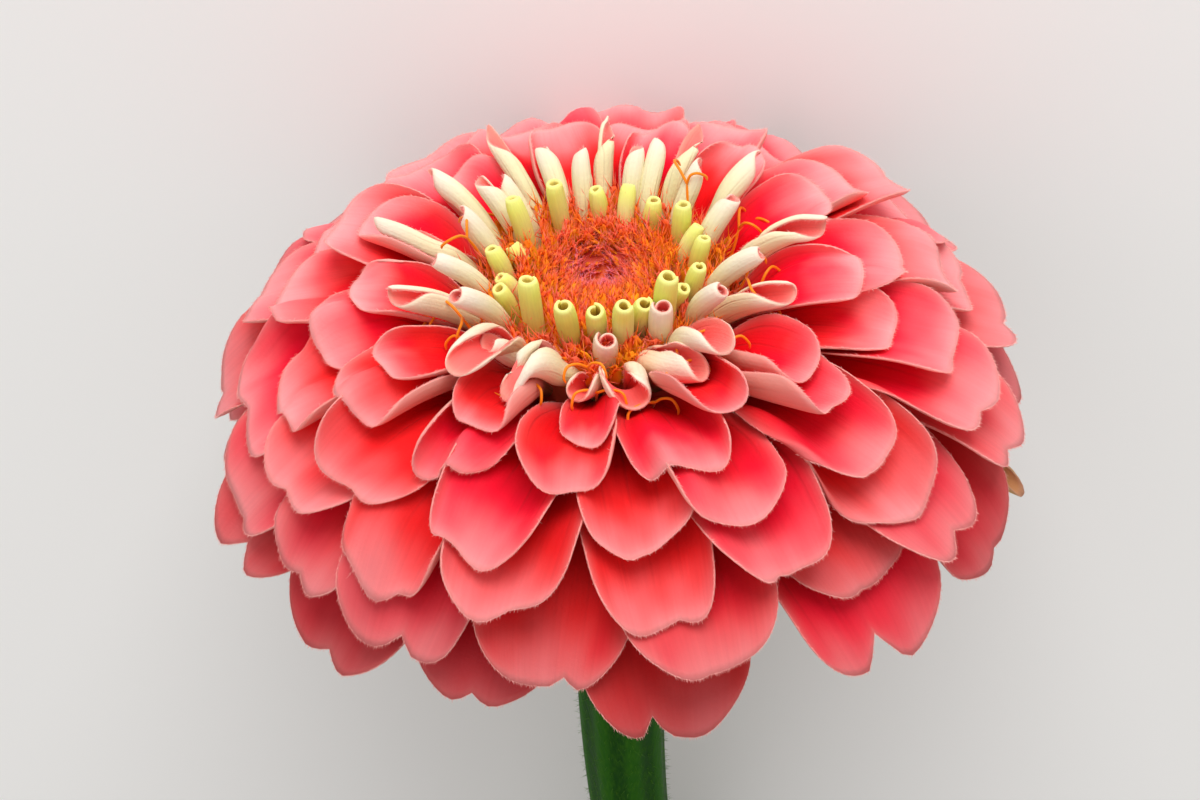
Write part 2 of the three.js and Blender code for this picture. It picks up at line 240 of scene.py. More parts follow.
def closed_grid(front, behind, turned=False):
    """Points and faces of a closed blade between two grids. The front's faces turn towards across x along, or
    the other way when they are turned."""
    size = front[..., 0].size
    index = np.arange(size).reshape(front.shape[:2])
    if turned:
        index = index.T
    a, b, c, d = index[:-1, :-1], index[:-1, 1:], index[1:, 1:], index[1:, :-1]
    ring = np.concatenate([index[0, :-1], index[:-1, -1], index[-1, :0:-1], index[:0:-1, 0]])
    following = np.roll(ring, -1)
    faces = np.concatenate(
        [
            np.stack([a, b, c, d], -1).reshape(-1, 4),
            np.stack([a, d, c, b], -1).reshape(-1, 4) + size,
            np.stack([ring + size, following + size, following, ring], -1),
        ]
    )
    return np.concatenate([front.reshape(-1, 3), behind.reshape(-1, 3)]), faces


def joined(skins):
    """Many closed skins as one. Each is its points, its faces and its attributes."""
    points, faces, looks = zip(*skins)
    starts = np.cumsum([0] + [len(skin) for skin in points[:-1]])
    faces = np.concatenate([skin + start for skin, start in zip(faces, starts)])
    looks = {key: np.concatenate([look[key] for look in looks]) for key in looks[0]}
    return np.concatenate(points), faces, looks


def soft_path(points, steps=4):
    """A smooth path through a few points."""
    points = np.asarray(points, float)
    padded = np.concatenate([[2 * points[0] - points[1]], points, [2 * points[-1] - points[-2]]])
    out = []
    for a, b, c, d in zip(padded, padded[1:], padded[2:], padded[3:]):
        for t in np.linspace(0, 1, steps, endpoint=False):
            squared = (2 * a - 5 * b + 4 * c - d) * t**2
            out.append(0.5 * (2 * b + (c - a) * t + squared + (3 * b - a - 3 * c + d) * t**3))
    return np.array([*out, points[-1]])


# Rays


def arc_point(ray, v):
    (r0, z0), (r1, z1) = ray["root"], ray["tip"]
    chord = math.hypot(r1 - r0, z1 - z0)
    bend = ray["rise"] * RAD - math.atan2(z1 - z0, r1 - r0)
    reach = chord * np.sin(bend * v) / math.sin(bend)
    heading = ray["rise"] * RAD - bend * v
    length = chord * bend / math.sin(bend)
    return r0 + reach * np.cos(heading), z0 + reach * np.sin(heading), heading - bend * v, length


def half_width(ray, v):
    taper = 1 - ray["taper"] * np.maximum(0, (v - SHOULDER) / (1 - SHOULDER)) ** 2
    return ray["width"] / 2 * taper * mix(ray["claw"], 1, smoothstep(CLAW_END, SHOULDER, v))


def column_end(ray, u):
    """Where along the blade the column at u ends: a rounded tip with a notch and small waves."""
    round_end = mix(ray["tip_start"], 1, np.sqrt(np.clip(1 - np.abs(u) ** ray["bluntness"], 0, 1)))
    cut = ray["notch"] * np.clip(1 - np.abs(u - ray["notch_at"]) / ray["notch_reach"], 0, 1) ** 1.3
    wave = ray["ripple"] * 0.016 * np.sin(4.5 * u + ray["phase_at"]) * (1 - u * u)
    return round_end - cut + wave - (np.abs(ray["slant"]) + ray["slant"] * u) / 2


def section(u, curl, skew):
    """Where the curled section is at u, for a half width of 1: sideways, and up from its middle line."""
    steps = (np.arange(SECTION_STEPS) + 0.5) / SECTION_STEPS
    x = u[..., None] * steps
    angle = curl[..., None] * (x + skew * x * x)
    return u * np.cos(angle).mean(-1), u * np.sin(angle).mean(-1)


def ray_grid(ray, u, v):
    """Points of the ray's upper face in the flower's own frame, for arrays u and v of one shape."""
    r, z, slope, length = arc_point(ray, v)
    veer = np.arctan(2 * ray["sway"] * v / length)
    curl = mix(ray["curl"][0], ray["curl"][1], smoothstep(0, CURL_END, v)) * RAD
    half = half_width(ray, v)
    sideways, lift = section(u, curl, ray["skew"])
    sideways, lift = sideways * half, lift * half
    if ray["roll"]:
        roll, middle = ray["roll"] * RAD, half / curl
        sideways, lift = (
            sideways * math.cos(roll) - (lift - middle) * math.sin(roll),
            sideways * math.sin(roll) + (lift - middle) * math.cos(roll) + middle,
        )
    edge = np.abs(u) ** 2.5
    wave = np.sin(5.5 * v + ray["phase_at"] + 2 * np.sign(u))
    lift = lift + ray["ripple"] * edge * wave * smoothstep(0.3, 0.8, v)
    lift = lift - ray["droop"] * np.maximum(0, (v - DROOP_START) / (1 - DROOP_START)) ** 2
    twist = ray["twist"] * v * RAD
    across = sideways * np.cos(twist) - lift * np.sin(twist)
    above = sideways * np.sin(twist) + lift * np.cos(twist)
    ahead = -across * np.sin(veer)
    x = ray["sway"] * v**2 + across * np.cos(veer)
    y = -(r - above * np.sin(slope) + ahead * np.cos(slope))
    z = z + above * np.cos(slope) + ahead * np.sin(slope)
    turn = ray["azimuth"] * RAD
    turned = [x * math.cos(turn) - y * math.sin(turn), x * math.sin(turn) + y * math.cos(turn), z]
    return np.stack(turned, -1), length


def rays_of(row, row_index, ripple, droop, skew, cup=0, notch=1, bluntness=TIP_ROUNDING, sway=0, **look):
    """The rays of a row, each with the small differences that the part's source gives it, and finer ones."""
    rays = []
    for i in range(row["count"]):
        index = row_index * INDEX_STEP + i
        lift = (row["tier"] if i % 2 else -row["tier"]) + HEIGHT_SCATTER * scatter(index, 2)
        reach = row["tip"][0] + RADIUS_SCATTER * scatter(index, 3)
        ray = dict(row, shade=0, taper=TIP_TAPER, tip_start=TIP_START, pale=0.0, roll=0.0, slant=0.0)
        ray.update(look)
        ray.update(
            azimuth=row["phase"] + 360 * i / row["count"] + AZIMUTH_SCATTER * scatter(index, 1),
            tip=(reach + rng.uniform(-0.9, 0.9), row["tip"][1] + lift),
            twist=TWIST_SCATTER * scatter(index, 4) + rng.uniform(-4, 4),
            width=row["width"] * rng.uniform(0.93, 1.09),
            curl=(
                row["curl"][0] + 0.4 * cup,
                row["curl"][1] + cup * rng.uniform(0.5, 1.7) + rng.uniform(-7, 9),
            ),
            notch=row["notch"] * notch * rng.uniform(0.3, 1.5),
            notch_at=0.3 * scatter(index, 5),
            notch_reach=rng.uniform(0.2, 0.42),
            bluntness=bluntness + rng.uniform(-0.2, 0.3),
            sway=sway * rng.uniform(-1, 1),
            ripple=ripple * rng.uniform(0.5, 1.4),
            phase_at=rng.uniform(0, 6.28),
            droop=droop * rng.uniform(-0.4, 1.6),
            skew=skew * rng.choice((-1, 1)) * rng.uniform(0.5, 1),
            tone=rng.random(),
        )
        rays.append(ray)
    return rays


heights_below = np.full((STACK_CELLS, STACK_CELLS), -99.0)


def spread_out(grid, times):
    """Softens a grid of numbers, along both its ways."""
    for _ in range(times):
        wide = np.pad(grid, 1, mode="edge")
        grid = (wide[:-2, 1:-1] + wide[2:, 1:-1] + wide[1:-1, :-2] + wide[1:-1, 2:] + 2 * grid) / 6
    return grid


def cells_under(points):
    cells = ((points[..., :2] + STACK_REACH) / STACK_CELL).astype(int)
    return tuple(np.clip(cells, 0, STACK_CELLS - 1)[..., k] for k in (0, 1))


def rest_on_others(upper, v, thickness, rolled, reach=4):
    """Lifts a ray that would cut through those below it, and adds an open one to the heights for the next."""
    room = smoothstep(0.1, 0.4, v)
    lift = np.zeros(v.shape)
    for _ in range(STACK_ROUNDS):
        needed = heights_below[cells_under(upper)] + STACK_GAP + thickness - upper[..., 2] - lift
        needed = np.maximum(needed, 0) * room
        if rolled:
            middle = needed.shape[1] // 2
            lowest = needed[:, middle - reach : middle + reach + 1]
            needed = np.repeat(lowest.max(1)[:, None], needed.shape[1], 1)
        wide = np.pad(needed, 1, mode="edge")
        needed = np.max([wide[:-2, 1:-1], wide[2:, 1:-1], wide[1:-1, :-2], wide[1:-1, 2:], needed], 0)
        lift += spread_out(needed, STACK_SOFTENING)
    upper = upper.copy()
    upper[..., 2] += lift
    if not rolled:
        for a in np.linspace(0, 1, 5):
            for b in np.linspace(0, 1, 5):
                near = mix(mix(upper[:-1, :-1], upper[1:, :-1], a), mix(upper[:-1, 1:], upper[1:, 1:], a), b)
                np.maximum.at(heights_below, cells_under(near), near[..., 2])
    return upper


def blade(ray, columns, stations, thickness=PETAL_THICKNESS, edge=RIM_THICKNESS):
    """The closed skin of one ray as points, faces and attributes, and its rim for the hairs."""
    u, v = np.linspace(-1, 1, columns), np.linspace(0, 1, stations)
    is_rolled = ray["curl"][0] > ROLLED_CURL
    if not is_rolled:
        u = np.sin(u * math.pi / 2)
    if ray["notch"] > 0:
        u[np.argmin(np.abs(u - ray["notch_at"]))] = ray["notch_at"]
    ends = column_end(ray, u)
    u = np.repeat(u[None], stations, 0)
    v = mix(v, smoothstep(0, 1, v), 0.25)[:, None] * ends
    upper, length = ray_grid(ray, u, v)
    upper = rest_on_others(upper, v, thickness, is_rolled, columns // 2 if ray["roll"] else 4)
    upper = pressed(laid_down(upper))
    margin = np.minimum((1 - np.abs(u)) * half_width(ray, v), (ends - v) * length)
    depth = edge + (thickness - edge) * (1 - np.exp(-margin / RIM_WIDTH))
    lower = upper + grid_normals(upper) * depth[..., None]
    lower[..., 2] = np.maximum(lower[..., 2], FLOOR_CLEARANCE)
    points, faces = closed_grid(upper, lower, turned=True)
    # Its colours run along it, shifted by painted light and shade for its place in the bloom
    grids = dict(along=v + ray["pale"], across=u, rim=np.exp(-margin / PALE_RIM_WIDTH))
    attributes = {label: np.tile(grid.ravel(), 2) for label, grid in grids.items()}
    attributes["back"] = np.repeat((0.0, 1.0), len(points) // 2)
    for label in ("tone", "shade"):
        attributes[label] = np.full(len(points), ray[label])
    # The margin from one side over the tip to the other, with the way outwards at each point
    side = slice(int(stations * HAIRY_FROM), stations)
    rim = np.concatenate([upper[side, 0], upper[-1, 1:-1], upper[side, -1][::-1]])
    inner = np.concatenate([upper[side, 1], upper[-2, 1:-1], upper[side, -2][::-1]])
    return points, faces, attributes, (rim, unit(rim - inner))


def blades_piece(name, rays, material, columns, stations, **settings):
    """Makes one mesh of all the rays, and gives their margins."""
    *skins, margins = zip(*[blade(ray, columns, stations, **settings) for ray in rays])
    points, faces, attributes = joined(zip(*skins))
    mesh_piece(name, points * MM, faces, material, **attributes)
    return list(margins)


# Node trees


class Flow:
    """What flows out of a node. Sums and products of flows add nodes to their tree."""

    def __init__(self, net, socket):
        self.net = net
        self.socket = socket

    def reckon(self, operation, *others):
        return self.net.add("ShaderNodeMath", dict(enumerate((self, *others))), operation=operation)

    def __add__(self, other):
        return self.reckon("ADD", other)

    def __sub__(self, other):
        return self.reckon("SUBTRACT", other)

    def __mul__(self, other):
        return self.reckon("MULTIPLY", other)

    def __truediv__(self, other):
        return self.reckon("DIVIDE", other)

    def __rtruediv__(self, other):
        return self.net.add("ShaderNodeMath", {0: other, 1: self}, operation="DIVIDE")

    def ranged(self, low, high, to_low=0.0, to_high=1.0, smooth=True):
        """Takes the range from low to high to another one, and keeps to its ends."""
        inputs = {"Value": self, "From Min": low, "From Max": high, "To Min": to_low, "To Max": to_high}
        kind = "SMOOTHSTEP" if smooth else "LINEAR"
        return self.net.add("ShaderNodeMapRange", inputs, interpolation_type=kind)

    def scaled(self, way):
        """A place, stretched by another number along each axis."""
        return self.net.add("ShaderNodeVectorMath", {0: self, 1: way}, operation="MULTIPLY")

    def other(self, out):
        """Another output of the same node."""
        return Flow(self.net, self.socket.node.outputs[out])


class Net:
    """A node tree. Its methods add nodes and give what flows out of them, but feed and paint give nothing."""

    def __init__(self, tree):
        self.tree = tree

    def feed(self, socket, value):
        if isinstance(value, Flow):
            self.tree.links.new(value.socket, socket)
        else:
            socket.default_value = (*value, 1) if socket.type == "RGBA" else value

    def add(self, kind, inputs=None, out=0, **settings):
        """A node with its settings. Each input is named or numbered, and is a value or a flow."""
        made = self.tree.nodes.new(kind)
        for label, value in settings.items():
            setattr(made, label, value)
        for label, value in (inputs or {}).items():
            self.feed(made.inputs[label], value)
        return Flow(self, made.outputs[out])

    def mix(self, share, a, b, blend="MIX"):
        return self.add("ShaderNodeMix", {0: share, 6: a, 7: b}, 2, data_type="RGBA", blend_type=blend)

    def place(self):
        return self.add("ShaderNodeTexCoord", out="Object")

    def noise(self, place, scale, detail):
        return self.add("ShaderNodeTexNoise", {"Vector": place, "Scale": scale, "Detail": detail})

    def read(self, *labels):
        """The mesh's attributes of these names."""
        settings = dict(attribute_type="GEOMETRY", out="Fac")
        return [self.add("ShaderNodeAttribute", attribute_name=label, **settings) for label in labels]

    def ramp(self, place, stops):
        """A colour that runs through (share, colour) stops."""
        made = self.add("ShaderNodeValToRGB", {0: place})
        elements = made.socket.node.color_ramp.elements
        while len(elements) < len(stops):
            elements.new(0.5)
        for element, (share, colour) in zip(elements, stops):
            element.position = share
            element.color = (*colour, 1)
        return made

    def cells(self, size=0.0003, depth=0.5):
        """Fine relief of soft cells."""
        return self.add("ShaderNodeGroup", {"Cell size": size, "Depth": depth}, node_tree=soft_cells)

    def paint(self, values, height=None, strength=0.5, distance=0.0001):
        """Feeds the material's shader, with a relief of this height."""
        if height:
            relief = {"Height": height, "Strength": strength, "Distance": distance}
            values["Normal"] = self.add("ShaderNodeBump", relief)
        for label, value in values.items():
            self.feed(self.tree.nodes["Principled BSDF"].inputs[label], value)

    def random(self, seed, low, high):
        """A number between two others, drawn for each point."""
        return self.add("FunctionNodeRandomValue", {2: low, 3: high, "Seed": seed}, 1)

    def random_way(self, seed):
        """Three numbers from -1 to 1, drawn for each point."""
        inputs = {0: (-1, -1, -1), 1: (1, 1, 1), "Seed": seed}
        return self.add("FunctionNodeRandomValue", inputs, data_type="FLOAT_VECTOR")


SOCKET_KINDS = {float: "Float", int: "Int", tuple: "Color"}


def group_net(kind, name, inputs, outputs):
    """A node group, what flows into it, and its outputs. A socket's value, or else a word, tells its kind."""
    tree = bpy.data.node_groups.new(name, kind)
    for in_out, sockets in (("INPUT", inputs), ("OUTPUT", outputs)):
        for label, value in sockets.items():
            socket_type = "NodeSocket" + SOCKET_KINDS.get(type(value), str(value))
            socket = tree.interface.new_socket(label, in_out=in_out, socket_type=socket_type)
            if in_out == "INPUT" and not isinstance(value, str):
                socket.default_value = value
    net = Net(tree)
    given = {socket.name: Flow(net, socket) for socket in tree.nodes.new("NodeGroupInput").outputs}
    return net, given, tree.nodes.new("NodeGroupOutput").inputs


def geometry_net(name, inputs):
    """A tree that makes one geometry of another, and sets its material."""
    geometry = {"Geometry": "Geometry"}
    inputs = {**geometry, **inputs, "Material": "Material"}
    return group_net("GeometryNodeTree", name, inputs, geometry)


def real_and_painted(net, geometry, given, out):
    """Ends a tree: instances made real, and its material set."""
    real = net.add("GeometryNodeRealizeInstances", {"Geometry": geometry})
    painted = {"Geometry": real, "Material": given["Material"]}
    net.feed(out["Geometry"], net.add("GeometryNodeSetMaterial", painted))
    return net.tree


def grown(name, source, tree, **inputs):
    """A plain mesh of what the tree makes of the source, which is used up."""
    modifier = source.modifiers.new("Growth", "NODES")
    modifier.node_group = tree
    sockets = {item.name: item.identifier for item in tree.interface.items_tree if item.in_out == "INPUT"}
    for label, value in inputs.items():
        modifier[sockets[label.replace("_", " ").capitalize()]] = value
    graph = bpy.context.evaluated_depsgraph_get()
    mesh = bpy.data.meshes.new_from_object(source.evaluated_get(graph), depsgraph=graph)
    mesh.name = name
    source.modifiers.remove(modifier)
    bpy.data.objects.remove(source)
    return linked(name, mesh)


def hair_tree(name, spread):
    """Fine tapering hairs: spread over a surface, or else on points that hold their headings."""
    inputs = {"Hair length": 0.0, "Hair radius": 0.0, "Lean": 0.0, "Seed": 0}
    if spread:
        inputs["Density"] = 0.0
    net, given, out = geometry_net(name, inputs)
    points, seed = given["Geometry"], given["Seed"]
    if spread:
        sown = {"Mesh": points, "Density": given["Density"], "Seed": seed}
        points = net.add("GeometryNodeDistributePointsOnFaces", sown)
        heading = points.other("Normal")
    else:
        heading = net.add("GeometryNodeInputNamedAttribute", {"Name": "heading"}, data_type="FLOAT_VECTOR")
    sizes = {"Radius Top": 0.0, "Radius Bottom": given["Hair radius"], "Depth": given["Hair length"]}
    cone = net.add("GeometryNodeMeshCone", {"Vertices": 3, **sizes}, fill_type="NGON")
    stray = net.random_way(seed)
    leaning = net.add("ShaderNodeVectorMath", {0: stray, "Scale": given["Lean"]}, operation="SCALE")
    way = net.add("ShaderNodeVectorMath", {0: heading, 1: leaning}, operation="ADD")
    turn = net.add("FunctionNodeAlignRotationToVector", {"Vector": way}, axis="Z")
    size = net.random(seed + 1.0, 0.5, 1.15)
    placed = {"Points": points, "Instance": cone, "Rotation": turn, "Scale": size}
    return real_and_painted(net, net.add("GeometryNodeInstanceOnPoints", placed), given, out)


def spiral_tree():
    """Scales in a golden-angle spiral, over a dome or round it."""
    inputs = {"Scales": "Collection", "Count": 1, "Seed": 1}
    for label in ("Length", "Inner size", "Ridge height", "Lean scatter", "Turn scatter", "Reach shift"):
        inputs[label] = 0.0
    for label in ("reach", "height", "lean"):
        inputs["Inner " + label] = inputs["Outer " + label] = 0.0
    net, given, out = geometry_net("Golden spiral of scales", inputs)
    line = net.add("GeometryNodeMeshLine", {"Count": given["Count"], "Offset": (0, 0, 0)})
    index = net.add("GeometryNodeInputIndex")
    root = ((index + 0.5) / given["Count"]).reckon("SQRT")
    azimuth = index * GOLDEN_ANGLE
    reach, height, lean = (
        root.ranged(0.0, 1.0, given["Inner " + label], given["Outer " + label], smooth=False)
        for label in ("reach", "height", "lean")
    )
    height = height + (root.reckon("POWER", 1.2) * math.pi).reckon("SINE") * given["Ridge height"]
    across, ahead = reach * azimuth.reckon("SINE"), reach * (azimuth.reckon("COSINE") * -1.0)
    place = net.add("ShaderNodeCombineXYZ", {0: across, 1: ahead, 2: height})
    spots = net.add("GeometryNodeSetPosition", {"Geometry": line, "Position": place})
    strays = net.add("ShaderNodeSeparateXYZ", {0: net.random_way(given["Seed"])})
    lean = lean + strays * given["Lean scatter"]
    side = strays.other(1) * given["Lean scatter"]
    facing = azimuth + net.random(given["Seed"] + 3.0, -1.0, 1.0) * given["Turn scatter"]
    turn = net.add("ShaderNodeCombineXYZ", {0: lean, 1: side, 2: facing})
    size = given["Length"] * strays.other(2).ranged(-1.0, 1.0, 0.8, 1.2, smooth=False)
    size = size * root.ranged(0.1, 0.95, given["Inner size"], 1.0, smooth=False)
    shapes = {"Collection": given["Scales"], "Separate Children": True, "Reset Children": True}
    placed = {
        "Points": spots,
        "Instance": net.add("GeometryNodeCollectionInfo", shapes),
        "Pick Instance": True,
        "Rotation": net.add("FunctionNodeEulerToRotation", {0: turn}),
        "Scale": size,
    }
    kept = net.add("GeometryNodeInstanceOnPoints", placed)
    tone = net.random(given["Seed"] + 7.0, 0.0, 1.0)
    for label, value in (("tone", tone), ("reach", root + given["Reach shift"])):
        stored = {"Geometry": kept, "Name": label, "Value": value}
        kept = net.add("GeometryNodeStoreNamedAttribute", stored, data_type="FLOAT", domain="INSTANCE")
    return real_and_painted(net, kept, given, out)


def sweep_tree():
    """A round tube along a path, as thick as the path says at each point."""
    net, given, out = geometry_net("Round thread", {"Thread radius": 0.0, "Sides": 7})
    circle = {"Resolution": given["Sides"], "Radius": given["Thread radius"]}
    tube = {
        "Curve": given["Geometry"],
        "Profile Curve": net.add("GeometryNodeCurvePrimitiveCircle", circle),
        "Scale": net.add("GeometryNodeInputRadius"),
        "Fill Caps": True,
    }
    smooth = net.add("GeometryNodeSetShadeSmooth", {"Geometry": net.add("GeometryNodeCurveToMesh", tube)})
    return real_and_painted(net, smooth, given, out)


PARTS = ("Heart", "Flush", "Second flush", "Tip", "Margin", "Back foot", "Back", "Second back", "Back tip")
PETAL_COLOURS = [f"{part} colour" for part in PARTS]
PETAL_ATTRIBUTES = ("along", "across", "rim", "tone", "shade", "back")


def petal_tissue_group():
    """Colour, roughness and relief of a ray: deep at its heart, partly its own colour and partly painted
    shade, pale towards its velvety margin, with lengthwise veins, another colour on its back, and the ray's
    painted shade over all."""
    inputs = {label.capitalize(): 0.0 for label in PETAL_ATTRIBUTES}
    inputs.update({label: (0, 0, 0, 1) for label in PETAL_COLOURS})
    inputs.update({"Heart end": 0.0, "Vein strength": 0.0})
    outputs = {"Colour": "Color", "Roughness": "Float", "Height": "Float"}
    net, given, out = group_net("ShaderNodeTree", "Petal tissue", inputs, outputs)
    along, across, rim, tone, shade, back = (given[label.capitalize()] for label in PETAL_ATTRIBUTES)
    heart, flush, second, tip, margin, *back_colours = (given[label] for label in PETAL_COLOURS)
    foot, behind, second_behind, back_tip = back_colours
    heart_end = given["Heart end"]
    place = net.add("ShaderNodeCombineXYZ", {0: across * 0.7, 1: along * 1.6, 2: tone * 37.0})
    blotch = net.noise(place, 2.4, 1.0)
    streak = net.noise(place.scaled((24.0, 1.4, 1.0)), 1.0, 3.0)
    # Five main veins that run together at the foot
    spread = across * 2.6
    off = (spread - spread.reckon("ROUND")).reckon("ABSOLUTE")
    vein = off.ranged(0.0, 0.1, 1.0, 0.0) * along.ranged(0.95, 0.35) * streak.ranged(0.3, 0.6)
    # Upper face: deep red at the heart, partly its own colour and partly painted shade under the rays that
    # overlap it
    uneven = along + (blotch - 0.5) * 0.24
    flush = net.mix((tone + (blotch - 0.5)).ranged(0.2, 0.8), flush, second)
    face = net.mix(uneven.ranged(heart_end * 0.45, heart_end), heart, flush)
    face = net.mix(uneven.ranged(heart_end - 0.14, 1.08), face, tip)
    face = net.mix(rim * 0.38, face, margin)
    # Back face
    behind = net.mix(tone.ranged(0.55, 0.95), behind, second_behind)
    behind = net.mix(uneven.ranged(0.05, 0.55), foot, behind)
    behind = net.mix(uneven.ranged(0.55, 1.0), behind, back_tip)
    behind = net.mix(rim * 0.5, behind, margin)
    # Veins and fine streaks, then the ray's painted shade
    colour = net.mix(vein * given["Vein strength"], net.mix(back, face, behind), (0.35, 0.02, 0.02))
    fine = streak.ranged(0.3, 0.7, 0.955, 1.035, smooth=False)
    grey = net.add("ShaderNodeCombineColor", {0: fine, 1: fine, 2: fine})
    colour = net.mix(1.0, colour, grey, "MULTIPLY")
    net.feed(out["Colour"], net.mix(shade, colour, (0.36, 0.02, 0.02)))
    net.feed(out["Roughness"], streak.ranged(0.25, 0.75, 0.5, 0.62, smooth=False))
    net.feed(out["Height"], vein * -0.6 + streak * 0.5)
    return net.tree


def soft_cells_group():
    """Fine relief of soft cells, for most living surfaces."""
    inputs = {"Cell size": 0.0003, "Depth": 0.5}
    net, given, out = group_net("ShaderNodeTree", "Soft cells", inputs, {"Height": "Float"})
    net.feed(out["Height"], net.noise(net.place(), 1.0 / given["Cell size"], 1.0) * given["Depth"])
    return net.tree


petal_tissue = petal_tissue_group()
soft_cells = soft_cells_group()


def new_material(name, sheen=0.0, specular=0.25):
    """A material and its tree, with the sheen that velvety surfaces share."""
    material = bpy.data.materials.new(name)
    material.use_nodes = True
    net = Net(material.node_tree)
    net.paint({"Specular IOR Level": specular, "Sheen Weight": sheen})
    net.paint({"Sheen Roughness": 0.45, "Sheen Tint": (1.0, 0.82, 0.8)})
    return material, net


def petal_material(name, colours, heart_end=0.84, vein=0.5, subsurface=0.0, grain=0.35, depth=0.5):
    material, net = new_material(name, sheen=0.01, specular=0.02)
    if subsurface:
        net.paint({"Subsurface Weight": subsurface, "Subsurface Scale": 1.0})
        net.paint({"Subsurface Radius": (0.0012, 0.0004, 0.0003)})
    inputs = {"Heart end": heart_end, "Vein strength": vein}
    inputs.update(zip(PETAL_COLOURS, colours))
    inputs.update(zip([label.capitalize() for label in PETAL_ATTRIBUTES], net.read(*PETAL_ATTRIBUTES)))
    tissue = net.add("ShaderNodeGroup", inputs, node_tree=petal_tissue)
    height = tissue.other("Height") + net.cells(0.00035, grain)
    net.paint({"Base Color": tissue, "Roughness": tissue.other("Roughness")}, height, depth, 0.00018)
    return material


# Colours of rays, in the order of PETAL_COLOURS
# The coral heart's deep red is partly painted shade
CORAL = (
    (0.84, 0.0006, 0.005), (0.96, 0.009, 0.043), (0.97, 0.024, 0.026), (1.0, 0.34, 0.355), (1.0, 0.5, 0.46),
    (0.55, 0.5, 0.18), (0.86, 0.4, 0.3), (0.86, 0.33, 0.26), (0.95, 0.27, 0.24),
)
CREAM = (
    (0.6, 0.02, 0.02), (0.96, 0.06, 0.07), (0.97, 0.08, 0.08), (0.98, 0.2, 0.18), (1.0, 0.74, 0.55),
    (0.62, 0.6, 0.2), (0.84, 0.77, 0.47), (0.9, 0.64, 0.42), (0.9, 0.82, 0.7),
)
YELLOW_GREEN = (
    (0.9, 0.55, 0.05), (0.95, 0.66, 0.09), (0.97, 0.5, 0.1), (0.97, 0.8, 0.22), (0.95, 0.96, 0.42),
    (0.55, 0.52, 0.08), (0.71, 0.69, 0.14), (0.78, 0.72, 0.27), (0.83, 0.89, 0.18),
)
WITHERED = (
    (0.45, 0.18, 0.03), (0.6, 0.32, 0.03), (0.6, 0.3, 0.05), (0.62, 0.28, 0.12), (0.75, 0.4, 0.35),
    (0.4, 0.28, 0.03), (0.5, 0.33, 0.02), (0.5, 0.3, 0.03), (0.5, 0.3, 0.04),
)
petal_coral = petal_material("Coral petal", CORAL, subsurface=0.15)
petal_withered = petal_material("Withered tip", WITHERED, heart_end=0.3)
petal_cream = petal_material("Cream rolled ray", CREAM, heart_end=0.5, vein=0.2, grain=0.45, depth=0.7)
petal_green = petal_material("Yellow-green quill", YELLOW_GREEN, heart_end=0.4, vein=0.05)


def along_material(name, *colours, middle=0.5, roughness=0.55, sheen=0.15):
    """A material whose colour runs along each piece, from its foot to its tip."""
    material, net = new_material(name, sheen)
    noise = net.noise(net.place(), 700.0, 2.0)
    shares = (0.0, 1.0) if len(colours) == 2 else (0.0, middle, 1.0)
    colour = net.ramp(net.read("along")[0] + (noise - 0.5) * 0.25, list(zip(shares, colours)))
    rough = noise.ranged(0.3, 0.7, roughness - 0.08, roughness + 0.08)
    net.paint({"Base Color": colour, "Roughness": rough}, net.cells())
    return material


# Camera

eye_way = Vector((0, -math.cos(CAMERA_ELEVATION), math.sin(CAMERA_ELEVATION)))
level_up = Vector((0, math.sin(CAMERA_ELEVATION), math.cos(CAMERA_ELEVATION)))
level_right = Vector((1, 0, 0))
picture_up = level_up * math.cos(CAMERA_TILT) + level_right * math.sin(CAMERA_TILT)
picture_right = level_right * math.cos(CAMERA_TILT) - level_up * math.sin(CAMERA_TILT)
target = DISC_MIDDLE - picture_up * (DISC_ABOVE_MIDDLE / PIXELS_PER_METRE)
facing = Matrix((picture_right, picture_up, eye_way)).transposed().to_4x4()
lens = bpy.data.cameras.new("Camera")
lens.sensor_width = SENSOR
lens.lens = PIXELS_PER_METRE * CAMERA_DISTANCE / FRAME_WIDTH * SENSOR
lens.clip_start = 0.01
camera = linked("Camera", lens)
camera.matrix_world = LIE @ Matrix.Translation(target + eye_way * CAMERA_DISTANCE) @ facing
bpy.context.scene.camera = camera

# Open petals

LOOK_KEYS = ("ripple", "droop", "shade", "notch", "bluntness", "taper", "tip_start", "cup", "skew", "sway")
# Each row's looks, in the order of LOOK_KEYS. The third is painted shade, deepest on the lowest rows, which
# lie under the others
PETAL_LOOKS = [
    (0.8, 1.2, 0.52, 1.0, 2.4, 0.2, 0.79, 0, 0.4, 0),
    (0.75, 1.6, 0.25, 0.7, TIP_ROUNDING, 0.16, 0.81, 6, 0.5, 1.2),
    (0.7, 1.4, 0.06, 0.6, TIP_ROUNDING, 0.14, 0.82, 12, 0.5, 1.8),
    (0.6, 1.2, 0, 0.4, TIP_ROUNDING, 0.14, 0.82, 16, 0.5, 2),
    (0.5, 0.8, 0, 0.35, TIP_ROUNDING, 0.16, 0.81, 20, 0.5, 1.6),
    (0.4, 0.5, 0, 0.2, TIP_ROUNDING, 0.2, 0.79, 18, 0.5, 1),
]
petals = [rays_of(row, k, **dict(zip(LOOK_KEYS, PETAL_LOOKS[k]))) for k, row in enumerate(PETAL_ROWS)]
rolled = [rays_of(row, 6 + k, ripple=0.15, droop=0.1, skew=0.25) for k, row in enumerate(ROLLED_ROWS)]
quills = [rays_of(row, 8, ripple=0.05, droop=0.0, skew=0.05) for row in QUILL_ROWS]


def from_front(ray):
    """Degrees round from the side seen first, 0 to 180."""
    return abs((ray["azimuth"] + 180) % 360 - 180)


def share_round(ray, low, high):
    """From 0 to 1 between two such angles."""
    return float(smoothstep(low, high, from_front(ray)))


